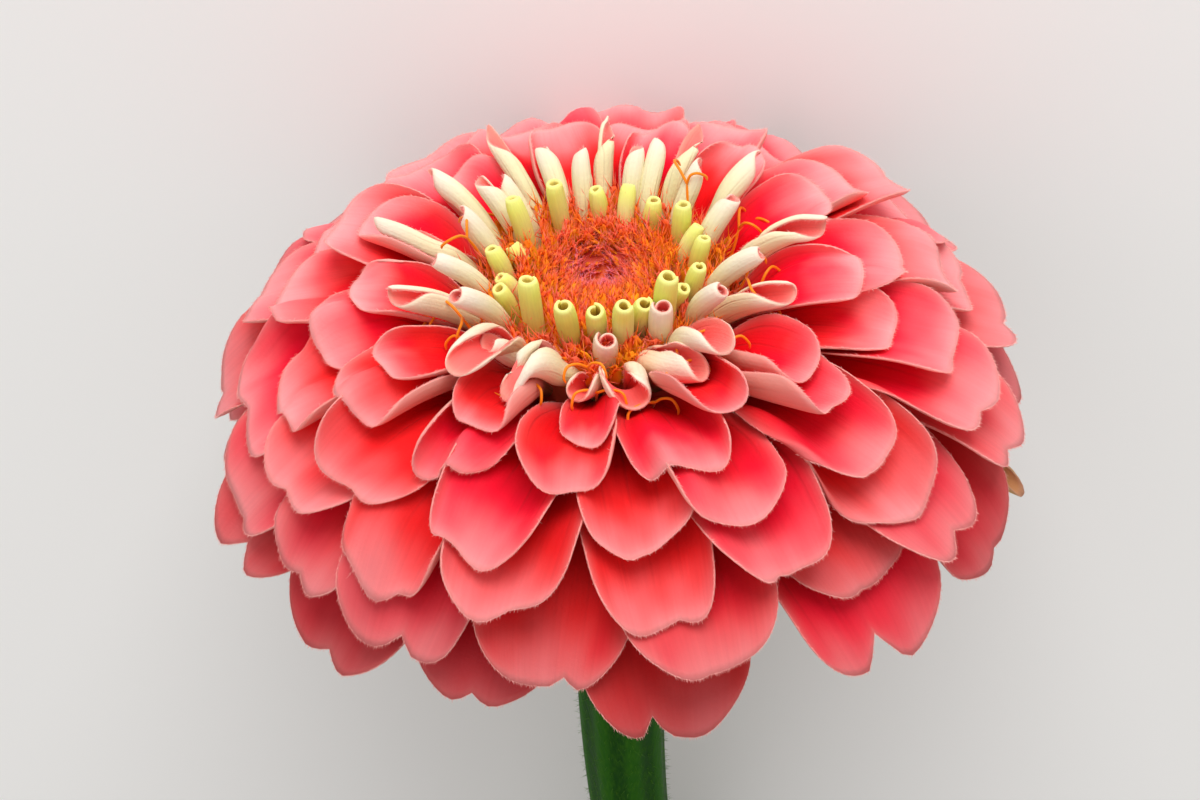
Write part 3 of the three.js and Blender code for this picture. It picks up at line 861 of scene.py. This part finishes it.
# The bloom is a little flatter at its back. In front all but the lowest petals are bowls with upturned tips
BOWL_CURL = (8, 22)
FRONT_PAINTED_SHADE = 0.14
BACK_INWARDS = 1.6
BACK_DOWN = 1.8
RIGHT_OUTWARDS = 0.9
FRONT_PAINTED_LIGHT_SHIFT = -0.04
BACK_PAINTED_LIGHT_SHIFT = 0.045
for k, row in enumerate(petals):
    for ray in row:
        back = share_round(ray, 100, 165)
        bowl = share_round(ray, 85, 40) * min(k / 2, 1) ** 2
        ray["curl"] = tuple(curl + more * bowl for curl, more in zip(ray["curl"], BOWL_CURL))
        ray["droop"] = mix(ray["droop"], -rng.uniform(0.4, 2), bowl)
        ray["twist"] += bowl * rng.uniform(-13, 13)
        ray["ripple"] += bowl * rng.uniform(0.2, 1)
        ray["sway"] += bowl * rng.uniform(-1.6, 1.6)
        # Painted shade on the front petals, which the light from the flower's top reaches least
        ray["shade"] += FRONT_PAINTED_SHADE * share_round(ray, 70, 40)
        raised = rng.uniform(0, 2.6) * share_round(ray, 75, 110)
        azimuth = ray["azimuth"] % 360
        right = float(smoothstep(50, 80, azimuth) * smoothstep(135, 105, azimuth))
        reach = ray["tip"][0] - BACK_INWARDS * back - 0.5 * raised + RIGHT_OUTWARDS * right
        ray["tip"] = (reach, ray["tip"][1] - BACK_DOWN * back + raised)
        # Painted light and shade: colours paler at the back and on the right, deeper in front
        ray["pale"] = mix(FRONT_PAINTED_LIGHT_SHIFT, BACK_PAINTED_LIGHT_SHIFT, share_round(ray, 25, 130)) + 0.02 * right
        ray["width"] *= 1.02 + 0.08 * min(k, 3) / 3
# Some petals stand out: notched ones at the lower right, and a small one in the middle of the front
for ray in petals[0]:
    if 48 < ray["azimuth"] % 360 < 70:
        ray["tip"] = (ray["tip"][0] + 1.4, ray["tip"][1] - 1.8)
# This low petal carries less painted shade than the rest of its row
petals[0][1].update(azimuth=36, width=19.5, notch=0.1, notch_at=-0.1, tip=(48.4, 1), shade=0.3)
petals[1][2].update(azimuth=38, width=16.5, tip=(43, 8.2))
petals[3][0]["twist"] = 0
petals[5][0].update(width=8, curl=(74, 66), skew=0, sway=0.3, ripple=0.1)


def far_side(ray):
    """Which way to roll a ray so that its seam turns away from the side seen first."""
    return -math.copysign(1, math.sin(ray["azimuth"] * RAD))


# At the front the outer rolled rays open into lips. At the sides and the back they are closed, pointed cones,
# turned so that their seams are on the far side
for ray in rolled[0]:
    closed = share_round(ray, 50, 80)
    beside = closed * share_round(ray, 112, 98)
    end_curl = mix(112, rng.choice((212, 204, 196, 170)), closed) + rng.uniform(-6, 3)
    ray["curl"] = (mix(158, 188, closed), end_curl)
    ray["skew"] = math.copysign(mix(0.32, 0.14, closed), ray["skew"])
    ray["tip_start"] = mix(0.76, 0.94, closed)
    ray["taper"] = mix(0.25, rng.uniform(0.3, 0.6), closed)
    ray["claw"] = mix(ray["claw"], 0.72, closed)
    ray["slant"] = closed * rng.uniform(0.2, 0.42) * rng.choice((-1, 1))
    ray["width"] *= mix(0.92, rng.uniform(0.58, 0.7), closed)
    ray["ripple"] = mix(ray["ripple"], 0.35, closed)
    ray["rise"] = mix(ray["rise"], rng.uniform(44, 54), closed)
    ray["sway"] = rng.uniform(-1.8, 1.8)
    out, up = rng.uniform(0.8, 3.2) * closed, rng.uniform(-0.6, 1.6) * closed
    ray["tip"] = (ray["tip"][0] + out, ray["tip"][1] + up)
    ray["tone"] = mix(rng.uniform(0.5, 1), rng.uniform(0, 0.6), closed)
    ray["roll"] = far_side(ray) * rng.uniform(60, 150) * closed
    if beside > 0.5:
        ray["curl"] = (180, rng.uniform(138, 160))
        ray["roll"] = far_side(ray) * rng.uniform(5, 25)
        ray["skew"] = -0.3 * far_side(ray)
        ray["taper"] = 0.3
        ray["slant"] = 0.2 * far_side(ray)
        ray["width"] *= 1.12
# One on the left is half open, and shows its coral inside
rolled[0][9].update(curl=(176, 118), roll=far_side(rolled[0][9]) * 25, taper=0.5, skew=0.3)
# One beside it stands clear of its neighbour
rolled[1][9]["azimuth"] = 246
# Three more fill the gaps at the back
for azimuth, drift in ((153, 0.4), (195, 1.5), (224, -0.6)):
    rolled[1].append(dict(rolled[1][6], azimuth=azimuth, tip=(19.6 + drift, 29.6 - drift)))
# The inner ones are tubes with round mouths, some of them pointed too
for ray in rolled[1]:
    behind = share_round(ray, 80, 120)
    ray["curl"] = (188, rng.uniform(190, 202))
    ray["skew"] = math.copysign(0.14, ray["skew"])
    ray["tip_start"] = mix(rng.uniform(0.9, 0.95), rng.uniform(0.86, 0.95), behind)
    ray["taper"] = mix(rng.uniform(0.05, 0.3), rng.uniform(0.2, 0.5), behind)
    ray["slant"] = mix(0.04, rng.uniform(0.14, 0.36), behind) * rng.choice((-1, 1))
    ray["claw"] = mix(ray["claw"], 0.7, behind)
    ray["width"] *= mix(0.76, 0.74, behind)
    ray["sway"] = rng.uniform(-1.2, 1.2)
    ray["roll"] = far_side(ray) * mix(rng.uniform(50, 90), rng.uniform(100, 150), behind)
    ray["tone"] = mix(rng.uniform(0.55, 0.75), rng.uniform(0, 0.6), share_round(ray, 30, 80))
# In front: two lie rolled up with their mouths to the left and to the right, two stand up as tubes, one curls
# open beside them, and small ones open between them
rolled[0][0].update(azimuth=13, sway=5.5, curl=(172, 164), skew=-0.14, tip=(20.8, 25), taper=0.2)
rolled[0][12].update(azimuth=-14, sway=-6.5, curl=(176, 166), skew=0.16, tip=(21, 24.8), taper=0.2)
rolled[1][0].update(azimuth=-1, sway=0.4, root=(11.8, 19), tip=(14.4, 27.6), rise=80, width=6, roll=25)
rolled[1][0].update(taper=0.1, tone=0.6)
rolled[1][1].update(azimuth=31, sway=-0.6, root=(11.6, 18.4), tip=(13.9, 30), rise=84, width=5.6, roll=20)
rolled[1][1].update(taper=0.1, tone=0.4)
rolled[1][12].update(azimuth=-38, sway=-2.2, curl=(150, 128), skew=0.35, tip=(18.4, 25.6), rise=48, roll=0)
rolled[1][12]["taper"] = 0.3
small = dict(rolled[0][0], azimuth=5, sway=1, root=(12.6, 17), tip=(21, 20), rise=44, width=9, claw=0.3)
small.update(curl=(130, 140), skew=0.45)
tiny = dict(small, azimuth=-7, sway=-1.5, root=(12.4, 17), tip=(18.6, 20), rise=46, width=6)
tiny.update(curl=(150, 130), skew=-0.3)
rolled[0] += [small, tiny]
# Quills of many sizes, from buds to tubes. The buds stand in the widest gaps between them
BUD_COUNT = 7
order = sorted(ray["azimuth"] % 360 for ray in quills[0])
gaps = sorted(((b - a) % 360, a) for a, b in zip(order, order[1:] + order[:1]))[-BUD_COUNT:]
buds = [dict(quills[0][0], azimuth=start + gap / 2, root=(9.4, 22)) for gap, start in gaps]
for k, ray in enumerate(quills[0] + buds):
    is_bud = k >= len(quills[0])
    ahead = share_round(ray, 70, 30)
    size = mix(rng.uniform(0.62, 1.0), rng.uniform(1.08, 1.26), ahead) * (0.8 if is_bud else 1)
    (r0, z0), (r1, z1) = ray["root"], ray["tip"]
    ray["tip"] = (mix(r0, r1, size) - 0.5 * is_bud - 1.2 * ahead, mix(z0, z1, size))
    ray["width"] *= mix(rng.uniform(0.68, 0.84), rng.uniform(0.88, 1.04), ahead)
    ray["claw"] = 0.86
    ray["tip_start"] = rng.uniform(0.93, 0.97)
    ray["taper"] = rng.uniform(0.05, 0.3)
    ray["sway"] = rng.uniform(-0.5, 0.5)
    ray["curl"] = (184, rng.uniform(186, 196))
    ray["skew"] = math.copysign(0.12, ray["skew"])
    ray["roll"] = far_side(ray) * rng.uniform(20, 110)

# A narrow withered ray pokes out from under the petals on the right
withered = dict(petals[0][0], azimuth=72, root=(12, 9), tip=(48.8, 0.2), rise=9, width=5.2, claw=0.4, notch=0)
withered.update(curl=(80, 120), twist=20, skew=0.2, ripple=0.2, droop=2.6, sway=0.6, taper=0.5, tip_start=0.8)
withered.update(tone=0.5, shade=0, pale=0)
blades_piece("withered_tip", [withered], petal_withered, 13, 24, thickness=0.5)
margins = []
for k, name in enumerate(("petals_low", "petals_middle", "petals_high")):
    margins += blades_piece(name, petals[2 * k] + petals[2 * k + 1], petal_coral, 23, 30)
margins += blades_piece("cream_rays", rolled[0] + rolled[1], petal_cream, 27, 26, thickness=0.5, edge=0.22)
blades_piece("quill_tubes", quills[0] + buds, petal_green, 25, 22, thickness=0.58, edge=0.3)

# Fine hairs on the petals' margins

HAIR_SPACING = 0.105
HAIR_SINK = 0.05
HAIR_ROOM = (0.4, 1.1)  # heights at which a petal above is too near for a hair
rim_points, rim_headings = [], []
for edge, out in margins:
    run = np.concatenate([[0], np.cumsum(np.linalg.norm(np.diff(edge, axis=0), axis=1))])
    at = np.arange(0.1, run[-1], HAIR_SPACING)
    at = at + rng.uniform(-0.4, 0.4, len(at)) * HAIR_SPACING
    spot, way = (np.stack([np.interp(at, run, grid[:, k]) for k in range(3)], -1) for grid in (edge, out))
    rim_points.append(spot - way * HAIR_SINK)
    rim_headings.append(way)
rim_points, rim_headings = np.concatenate(rim_points), np.concatenate(rim_headings)
# None grows on the floor, or right under another petal
upright = (np.c_[rim_points, np.ones(len(rim_points))] @ np.linalg.inv(LIE_MM).T)[:, :3]
room = heights_below[cells_under(upright)] - upright[:, 2]
free = (rim_points[:, 2] > 0.8) & ((room < HAIR_ROOM[0]) | (room > HAIR_ROOM[1]))
hair_source = bpy.data.meshes.new("margin_points")
hair_source.from_pydata((rim_points[free] * MM).tolist(), [], [])
headings = hair_source.attributes.new("heading", "FLOAT_VECTOR", "POINT").data
headings.foreach_set("vector", rim_headings[free].astype(np.float32).ravel())
hairs = dict(hair_length=0.00043, hair_radius=0.000031, lean=0.5, seed=5)
hairs["material"] = along_material("Margin hair", (1.0, 0.46, 0.42), (1.0, 0.8, 0.75), sheen=0.0)
source = linked("margin_points", hair_source)
grown("margin_hairs", source, hair_tree("Hairs on a margin", spread=False), **hairs)

# Receptacle and disc


def turned_piece(name, material, corners):
    points, faces = lathe(smooth_profile(corners))
    low, high = points[:, 2].min(), points[:, 2].max()
    along, tone = (points[:, 2] - low) / (high - low), np.full(len(points), 0.5)
    mesh_piece(name, laid_down(points) * MM, faces, material, along=along, tone=tone)


RECEPTACLE = [(0, 8.4), (12.6, 8.6), (12.9, 12), (12.9, 16), (12.2, 18), (11.8, 20), (10.8, 21.4), (10.4, 23)]
RECEPTACLE += [(9.6, 23.4), (0, 23.4)]
DOME = [(0, 21.6), (8.9, 21.6), (8.9, 22.8), (7.7, 24.1), (6, 24.9), (4, 24.9), (2.4, 24.1), (1.2, 23.1)]
DOME += [(0, 22.8)]
colours = [(0.4, 0.36, 0.1), (0.75, 0.05, 0.035), (0.85, 0.16, 0.05)]
turned_piece("receptacle", along_material("Receptacle flesh", *colours, middle=0.35), RECEPTACLE)
colours = [(0.9, 0.36, 0.03), (0.85, 0.16, 0.02), (0.6, 0.05, 0.04)]
turned_piece("disc_dome", along_material("Disc flesh", *colours), DOME)


# A scale of the disc, about 1 long with its fringe of thin teeth. It is made smaller when it is placed
SCALE_LENGTH = 0.8
SCALE_WALL = 0.03
SCALE_BEND = 0.1
SCALE_HALF_WIDTHS = (0.13, 0.17, 0.18, 0.13, 0.06)
SCALE_CHANNEL = 3
FRINGE_HALF_WIDTH = 0.15
TOOTH_RADIUS = 0.021


def scale_shape(name, teeth):
    """One chaffy scale of the disc: a channelled strip with a torn, pointed end."""
    columns, rows = 3, len(SCALE_HALF_WIDTHS)
    points, along, faces = [], [], []
    for side in (0, 1):
        for i in range(rows):
            for j in range(columns):
                x, run = (j - 1) * SCALE_HALF_WIDTHS[i], i / (rows - 1)
                y = SCALE_CHANNEL * x * x - side * SCALE_WALL + SCALE_BEND * run * run
                points.append((x, y, SCALE_LENGTH * run))
                along.append(0.7 * run)
    size = rows * columns
    for i in range(rows - 1):
        for j in range(columns - 1):
            a = i * columns + j
            quad = (a, a + 1, a + columns + 1, a + columns)
            faces.append(tuple(reversed(quad)))
            faces.append(tuple(k + size for k in quad))
    rim = [i * columns for i in range(rows)] + [size - 2]
    rim += [i * columns + 2 for i in range(rows - 1, -1, -1)] + [1]
    for a, b in zip(rim, rim[1:] + rim[:1]):
        faces.append((a, b, b + size, a + size))
    for k in range(teeth):
        share = (k + 0.5) / teeth * 2 - 1
        rise = mix(0.76, 0.34, abs(share) ** 1.5) + rng.uniform(-0.1, 0.02)
        x = share * FRINGE_HALF_WIDTH
        foot = np.array((x, SCALE_CHANNEL * x**2 + SCALE_BEND * (rise / SCALE_LENGTH) ** 2, rise))
        way = np.array((share * 0.9 + rng.uniform(-0.45, 0.45), rng.uniform(-0.5, 0.6), 1))
        way /= np.linalg.norm(way)
        start = len(points)
        for turn in (0, 2.1, 4.2):
            points.append(tuple(foot + TOOTH_RADIUS * np.array((math.cos(turn), math.sin(turn), 0))))
            along.append(0.6)
        points.append(tuple(foot + way * rng.uniform(0.22, 0.58)))
        along.append(1.0)
        faces += [(start, start + 2, start + 1)]
        faces += [(start + a, start + (a + 1) % 3, start + 3) for a in range(3)]
    piece = mesh_piece(name, points, faces, along=along)
    whole = bmesh.new()
    whole.from_mesh(piece.data)
    bmesh.ops.recalc_face_normals(whole, faces=whole.faces)
    whole.to_mesh(piece.data)
    whole.free()
    return piece


scale_shapes = bpy.data.collections.new("Scale shapes")
bpy.context.scene.collection.children.link(scale_shapes)
for k, teeth in enumerate((10, 12, 13, 11)):
    shape = scale_shape(f"scale_shape_{k}", teeth)
    bpy.context.scene.collection.objects.unlink(shape)
    scale_shapes.objects.link(shape)


def fringe_material():
    """Orange scales with red fringes. Towards the middle of the disc the fringes turn magenta."""
    material, net = new_material("Disc scale", specular=0.03)
    along, tone, reach = net.read("along", "tone", "reach")
    stray = (tone - 0.5) * 0.45
    place = along + stray
    outer = [(0.0, (1.0, 0.58, 0.04)), (0.36, (1.0, 0.44, 0.02)), (0.56, (1.0, 0.28, 0.015))]
    outer = net.ramp(place, [*outer, (0.76, (1.0, 0.15, 0.03)), (1.0, (1.0, 0.2, 0.13))])
    inner = [(0.0, (1.0, 0.38, 0.02)), (0.4, (1.0, 0.24, 0.03)), (0.66, (1.0, 0.15, 0.16))]
    inner = net.ramp(place, [*inner, (0.85, (1.0, 0.32, 0.46))])
    colour = net.mix((reach + stray).ranged(0.2, 0.55), inner, outer)
    net.paint({"Base Color": colour, "Roughness": tone.ranged(0.0, 1.0, 0.45, 0.65)}, net.cells(0.0002), 0.4)
    return material


# The scales over the disc, and those among the feet of the rays
SPIRAL_PIECES = ("disc_scales", "ray_scales")
SPIRALS = {
    "count": (430, 230),
    "length": (0.0042, 0.0052),
    "inner_size": (0.42, 1.0),
    "inner_reach": (0.0008, 0.0094),
    "outer_reach": (0.0094, 0.0136),
    "inner_height": (0.0228, 0.0222),
    "outer_height": (0.022, 0.0205),
    "ridge_height": (0.0022, 0.0),
    "inner_lean": (-0.7, 0.05),
    "outer_lean": (-0.12, 0.35),
    "lean_scatter": (0.42, 0.28),
    "turn_scatter": (0.9, 0.8),
    "reach_shift": (0.0, 0.35),
    "seed": (4, 9),
}
spiral = spiral_tree()
scale_look = dict(scales=scale_shapes, material=fringe_material())
for k, name in enumerate(SPIRAL_PIECES):
    numbers = {label: values[k] for label, values in SPIRALS.items()}
    source = linked(name, bpy.data.meshes.new(name))
    grown(name, source, spiral, **numbers, **scale_look).data.transform(LIE)
for shape in list(scale_shapes.objects):
    bpy.data.objects.remove(shape)
bpy.data.collections.remove(scale_shapes)

# Styles: orange threads at the feet of the rays, each forked into two arms that curl back


def threads_source(name, paths):
    """Paths for tubes, each as (points in metres, taper at each point)."""
    curves = bpy.data.curves.new(name, "CURVE")
    curves.dimensions = "3D"
    for points, tapers in paths:
        spline = curves.splines.new("POLY")
        spline.points.add(len(points) - 1)
        for spot, point, taper in zip(spline.points, points, tapers):
            spot.co = (*point, 1)
            spot.radius = taper
    return linked(name, curves)


def style_paths(ray, along, length):
    """A style that stands on a ray: its stalk and the two arms it forks into."""
    zero = np.zeros(1)
    foot = ray_grid(ray, zero, zero + along)[0][0]
    ahead = ray_grid(ray, zero, zero + along + 0.08)[0][0] - foot
    ahead /= np.linalg.norm(ahead)
    turn = ray["azimuth"] * RAD
    across = np.array((math.cos(turn), math.sin(turn), 0))
    above = np.cross(across, ahead)
    above = above if above[2] > 0 else -above
    lean = rng.uniform(-0.4, 0.4)
    way = ahead + 0.55 * above + lean * across
    way /= np.linalg.norm(way)
    fork = foot + above * 0.5 + way * length
    stalk = [foot - ahead, foot + above * 0.5 + way * length * 0.4, fork]
    paths = [(soft_path(stalk), 1.0)]
    for side in (-1, 1):
        spread = rng.uniform(0.5, 1.3)
        one = fork + (way * 0.8 + across * side * 0.8 * spread) * 1.4
        two = one + (way * 0.45 + across * side * 0.9 * spread - above * 0.35) * 1.5
        three = two + (way * 0.1 + across * side * 0.35 - above) * 1.2
        four = three + (-way * 0.5 - across * side * 0.1 - above * 0.7) * 0.8
        paths.append((soft_path([fork, one, two, three, four]), 0.9))
    return paths


STYLE_RADIUS = 0.00018
STYLE_TIP = (0.95, 0.8, 0.45)  # how thick its last three points are, as a share
style_runs = []
between = [dict(ray, azimuth=ray["azimuth"] + 13, curl=(60, 60)) for ray in rolled[0][:13]]
for rays, every, at, length in ((petals[4], 2, 0.34, 3.4), (petals[5], 1, 0.36, 3.6), (between, 2, 0.4, 3.4)):
    for i, ray in enumerate(rays):
        if i % every == 0 and (from_front(ray) < 100 or i % 4 == 0):
            for thread, size in style_paths(ray, at, length):
                tapers = size * np.concatenate([np.ones(len(thread) - len(STYLE_TIP)), STYLE_TIP])
                style_runs.append((laid_down(thread) * MM, tapers))
orange = along_material("Orange style", (0.95, 0.26, 0.005), (1.0, 0.36, 0.008), roughness=0.4)
source = threads_source("style_paths", style_runs)
grown("styles", source, sweep_tree(), thread_radius=STYLE_RADIUS, sides=7, material=orange)

# Green cup: bracts in overlapping rows, with dark margins

BRACT_ROWS = [
    dict(count=8, phase=0, foot=(5.6, 0.5), mid=(11.6, 1.7), tip=(13.4, 6), width=7.5),
    dict(count=9, phase=20, foot=(9, 2.4), mid=(12.5, 3.8), tip=(14.1, 8.6), width=7.6),
    dict(count=10, phase=2, foot=(10.2, 5), mid=(13.2, 6.5), tip=(14.2, 10.4), width=7.4),
]
BRACT_WALL = 0.8
BRACT_EDGE = 0.25
BRACT_DARK_RIM = 0.45


def bract_blade(row, azimuth, columns=15, stations=14):
    """The closed skin of one bract as points, faces and attributes."""
    u, v = np.meshgrid(np.sin(np.linspace(-1, 1, columns) * math.pi / 2), np.linspace(0, 1, stations))
    foot, mid, tip = (np.array(row[key]) for key in ("foot", "mid", "tip"))
    t = v * mix(0.72, 1, np.sqrt(np.clip(1 - u * u, 0, 1)))
    path = (1 - t)[..., None] ** 2 * foot + (2 * t * (1 - t))[..., None] * mid + t[..., None] ** 2 * tip
    half = row["width"] / 2 * np.sqrt(np.clip(1 - ((t - 0.5) / 0.95) ** 2, 0.1, 1))
    r = path[..., 0] + 0.5 * (1 - u * u) + 0.1 * np.sin(azimuth * 7 + 5 * t)
    angle = azimuth + half * u / path[..., 0]
    outer = np.stack([r * np.sin(angle), -r * np.cos(angle), path[..., 1]], -1)
    length = np.linalg.norm(tip - foot)
    margin = np.minimum((1 - np.abs(u)) * half, (1 - v) * length)
    depth = BRACT_EDGE + (BRACT_WALL - BRACT_EDGE) * (1 - np.exp(-margin / BRACT_WALL))
    points, faces = closed_grid(outer, outer - grid_normals(outer) * depth[..., None])
    grids = dict(along=t, across=u, rim=np.exp(-margin / BRACT_DARK_RIM))
    looks = {label: np.tile(grid.ravel(), 2) for label, grid in grids.items()}
    return points, faces, dict(looks, tone=np.full(len(points), rng.random()))


def bract_material():
    material, net = new_material("Green bract", sheen=0.1)
    along, rim = net.read("along", "rim")
    noise = net.noise(net.place(), 500.0, 3.0)
    leaf = net.mix(along.ranged(0.1, 0.9), (0.2, 0.36, 0.07), (0.11, 0.27, 0.045))
    leaf = net.mix(noise.ranged(0.35, 0.7, 0.0, 0.5), leaf, (0.26, 0.42, 0.1))
    at_margin = (rim + (noise - 0.5) * 0.3).ranged(0.28, 0.55) * along.ranged(0.35, 0.6)
    leaf = net.mix(at_margin, leaf, (0.035, 0.018, 0.012))
    net.paint({"Base Color": leaf, "Roughness": 0.6}, noise, 0.4, 0.0002)
    return material


skins = []
for row in BRACT_ROWS:
    for i in range(row["count"]):
        azimuth = (row["phase"] + 360 * i / row["count"] + rng.uniform(-2, 2)) * RAD
        skins.append(bract_blade(row, azimuth))
points, faces, looks = joined(skins)
mesh_piece("bracts", laid_down(points) * MM, faces, bract_material(), **looks)
flesh = along_material("Cup flesh", (0.14, 0.28, 0.05), (0.12, 0.24, 0.05))
turned_piece("cup_body", flesh, [(0, 0.3), (5.3, 0.35), (8.4, 1.6), (11.5, 4.6), (12.3, 7.8), (0, 8.1)])

# Stem: ribbed and hairy, bowed, with a slanted cut that shows its pale pith

STEM_LENGTH = 120
STEM_BOW = (-2, 1.2)
STEM_RIBS = 8
STEM_RIB_TURN = 11.25 * RAD
STEM_RIB_DEPTH = 0.05
STEM_CUT_SLANT = 25 * RAD
STEM_CUT_FROM = 98  # the slant starts this far down, and is full at the end
STEM_CUT_RINGS = (0.985, 0.93, 0.86, 0.7, 0.5, 0.3, 0.12)
STEM_RADII = [(0, 5.8), (-6, 5.4), (-20, 5.6), (-36, 5.7), (-56, 5.3), (-76, 4.9), (-98, 4.5), (-120, 4.3)]


def stem_piece(material, around=96, rings=70):
    heights = np.linspace(0, -STEM_LENGTH, rings)
    knots = np.array(STEM_RADII[::-1], float)
    radii = smoothed(np.interp(heights, knots[:, 0], knots[:, 1]), 4)
    angle = np.linspace(0, 2 * math.pi, around, endpoint=False)
    groove = 0.5 - 0.5 * np.cos(STEM_RIBS * (angle - STEM_RIB_TURN))
    rings_at = [(z, radius, 1, 0) for z, radius in zip(heights, radii)]
    rings_at += [(-STEM_LENGTH, radii[-1], share, 1) for share in STEM_CUT_RINGS]
    points, along, cut, rib = [], [], [], []
    for z, radius, share, is_cut in rings_at:
        bow = (1 - math.cos(2 * math.pi * z / STEM_LENGTH)) / 2
        wobble = 1 - STEM_RIB_DEPTH * groove * (1.1 + 0.15 * np.sin(angle * 3 + z * 0.1))
        x, y = radius * share * wobble * np.cos(angle), radius * share * wobble * np.sin(angle)
        lean = np.clip((-z - STEM_CUT_FROM) / (STEM_LENGTH - STEM_CUT_FROM), 0, 1) * math.tan(STEM_CUT_SLANT)
        sink = 0.25 * is_cut * (1 - share) ** 0.5
        points.append(np.stack([x + bow * STEM_BOW[0], y + bow * STEM_BOW[1], z - y * lean + sink], -1))
        along.append(np.full(around, -z / STEM_LENGTH))
        cut.append(np.full(around, is_cut * (1.02 - share)))
        rib.append(1 - groove)
    top = len(points) * around
    index = np.arange(top).reshape(-1, around)
    after = np.roll(index, -1, 1)
    points = np.concatenate([*points, [points[0].mean(0), points[-1].mean(0)]])
    faces = np.stack([index[:-1], index[1:], after[1:], after[:-1]], -1).reshape(-1, 4).tolist()
    faces += [(top, int(a), int(b)) for a, b in zip(index[0], after[0])]
    faces += [(top + 1, int(b), int(a)) for a, b in zip(index[-1], after[-1])]
    laid = laid_down(points)
    laid[:, 2] = np.maximum(laid[:, 2], 0)
    ends = dict(along=(along, [0, 1]), cut=(cut, [0, 1]), rib=(rib, [1, 1]))
    looks = {label: np.concatenate([*values, at_ends]) for label, (values, at_ends) in ends.items()}
    return mesh_piece("stem_skin", laid * MM, faces, material, **looks)


def stem_material():
    material, net = new_material("Ribbed green stem", specular=0.05)
    along, cut, rib = net.read("along", "cut", "rib")
    # The grain runs along the stem, which lies close to the Y axis
    grain = net.noise(net.place().scaled((2600.0, 50.0, 2600.0)), 1.0, 3.0)
    # The skin's dark green is partly its own and partly painted shade from the bloom; the grooves between the
    # ribs are darker still, as painted shade
    skin = net.mix(rib.ranged(0.1, 0.9), (0.006, 0.055, 0.001), (0.016, 0.1, 0.002))
    skin = net.mix(grain.ranged(0.35, 0.8, 0.0, 0.35), skin, (0.06, 0.18, 0.012))
    skin = net.mix(along.ranged(0.0, 0.12, 0.3, 0.0), skin, (0.14, 0.3, 0.06))
    pith = net.mix(cut.ranged(0.03, 0.12), (0.16, 0.3, 0.06), (0.62, 0.66, 0.36))
    pith = net.mix(cut.ranged(0.25, 0.6), pith, (0.78, 0.8, 0.6))
    skin = net.mix(cut.ranged(0.0, 0.03), skin, pith)
    net.paint({"Base Color": skin, "Roughness": grain.ranged(0.3, 0.7, 0.4, 0.6)}, grain, 0.35, 0.0002)
    return material


stem = stem_piece(stem_material())
fuzz = dict(hair_length=0.0008, hair_radius=0.00003, density=900000.0, lean=0.6, seed=8)
# The hairs' dark green is partly their own and partly painted shade from the bloom
fuzz["material"] = along_material("Stem hair", (0.035, 0.155, 0.007), (0.15, 0.33, 0.035), sheen=0.0)
source = linked("stem_hair_source", stem.data.copy())
stem_hairs = grown("stem_hairs", source, hair_tree("Fuzz on a surface", spread=True), **fuzz)
for vertex in stem_hairs.data.vertices:
    vertex.co.z = max(vertex.co.z, 0.0)

# Stage and light

floor_mesh = bpy.data.meshes.new("Floor")
floor_mesh.from_pydata([(-3, -3, 0), (3, -3, 0), (3, 3, 0), (-3, 3, 0)], [], [(0, 1, 2, 3)])
floor_material, net = new_material("Pale floor")
net.paint({"Base Color": (0.9, 0.9, 0.89), "Roughness": 0.8})
floor_mesh.materials.append(floor_material)
floor = linked("Floor", floor_mesh)
LIGHT_TARGET = Vector((0, -0.05, 0.04))


def soft_light(name, place, size, power):
    data = bpy.data.lights.new(name, "AREA")
    data.shape = "DISK"
    data.size = size
    data.energy = power
    light = linked(name, data)
    light.location = place
    light.rotation_euler = (LIGHT_TARGET - Vector(place)).to_track_quat("-Z", "Y").to_euler()


soft_light("Key", (-0.1, -0.87, 0.38), 0.65, 6.1)
soft_light("Fill", (0.3, -0.2, 0.9), 0.8, 0.7)
world = bpy.data.worlds.new("World")
bpy.context.scene.world = world
world.use_nodes = True
background = world.node_tree.nodes["Background"].inputs
background["Color"].default_value = (0.98, 0.96, 0.94, 1)
background["Strength"].default_value = 0.57
bpy.context.scene.view_settings.view_transform = "Standard"

# Bodies and nodes: each piece joins the root body, and the CAD node it stands for is hidden

BELONGS = {
    ("ray_petals", "petal_coral"): (
        *("petals_low", "petals_middle", "petals_high"),
        *("margin_hairs", "receptacle", "withered_tip"),
    ),
    ("ray_petals", "disc_orange"): ("styles",),
    ("rolled_rays", "ray_cream"): ("cream_rays",),
    ("rolled_rays", "disc_orange"): ("ray_scales",),
    ("green_quills", "quill_yellow_green"): ("quill_tubes",),
    ("disc", "disc_orange"): ("disc_dome", "disc_scales"),
    ("bract_cup", "bract_green"): ("cup_body", "bracts"),
    ("stem", "stem_green"): ("stem_skin", "stem_hairs"),
}
for (cad_node, slot), names in BELONGS.items():
    for name in names:
        piece = bpy.data.objects[name]
        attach(piece, "root")
        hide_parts(cad_node)
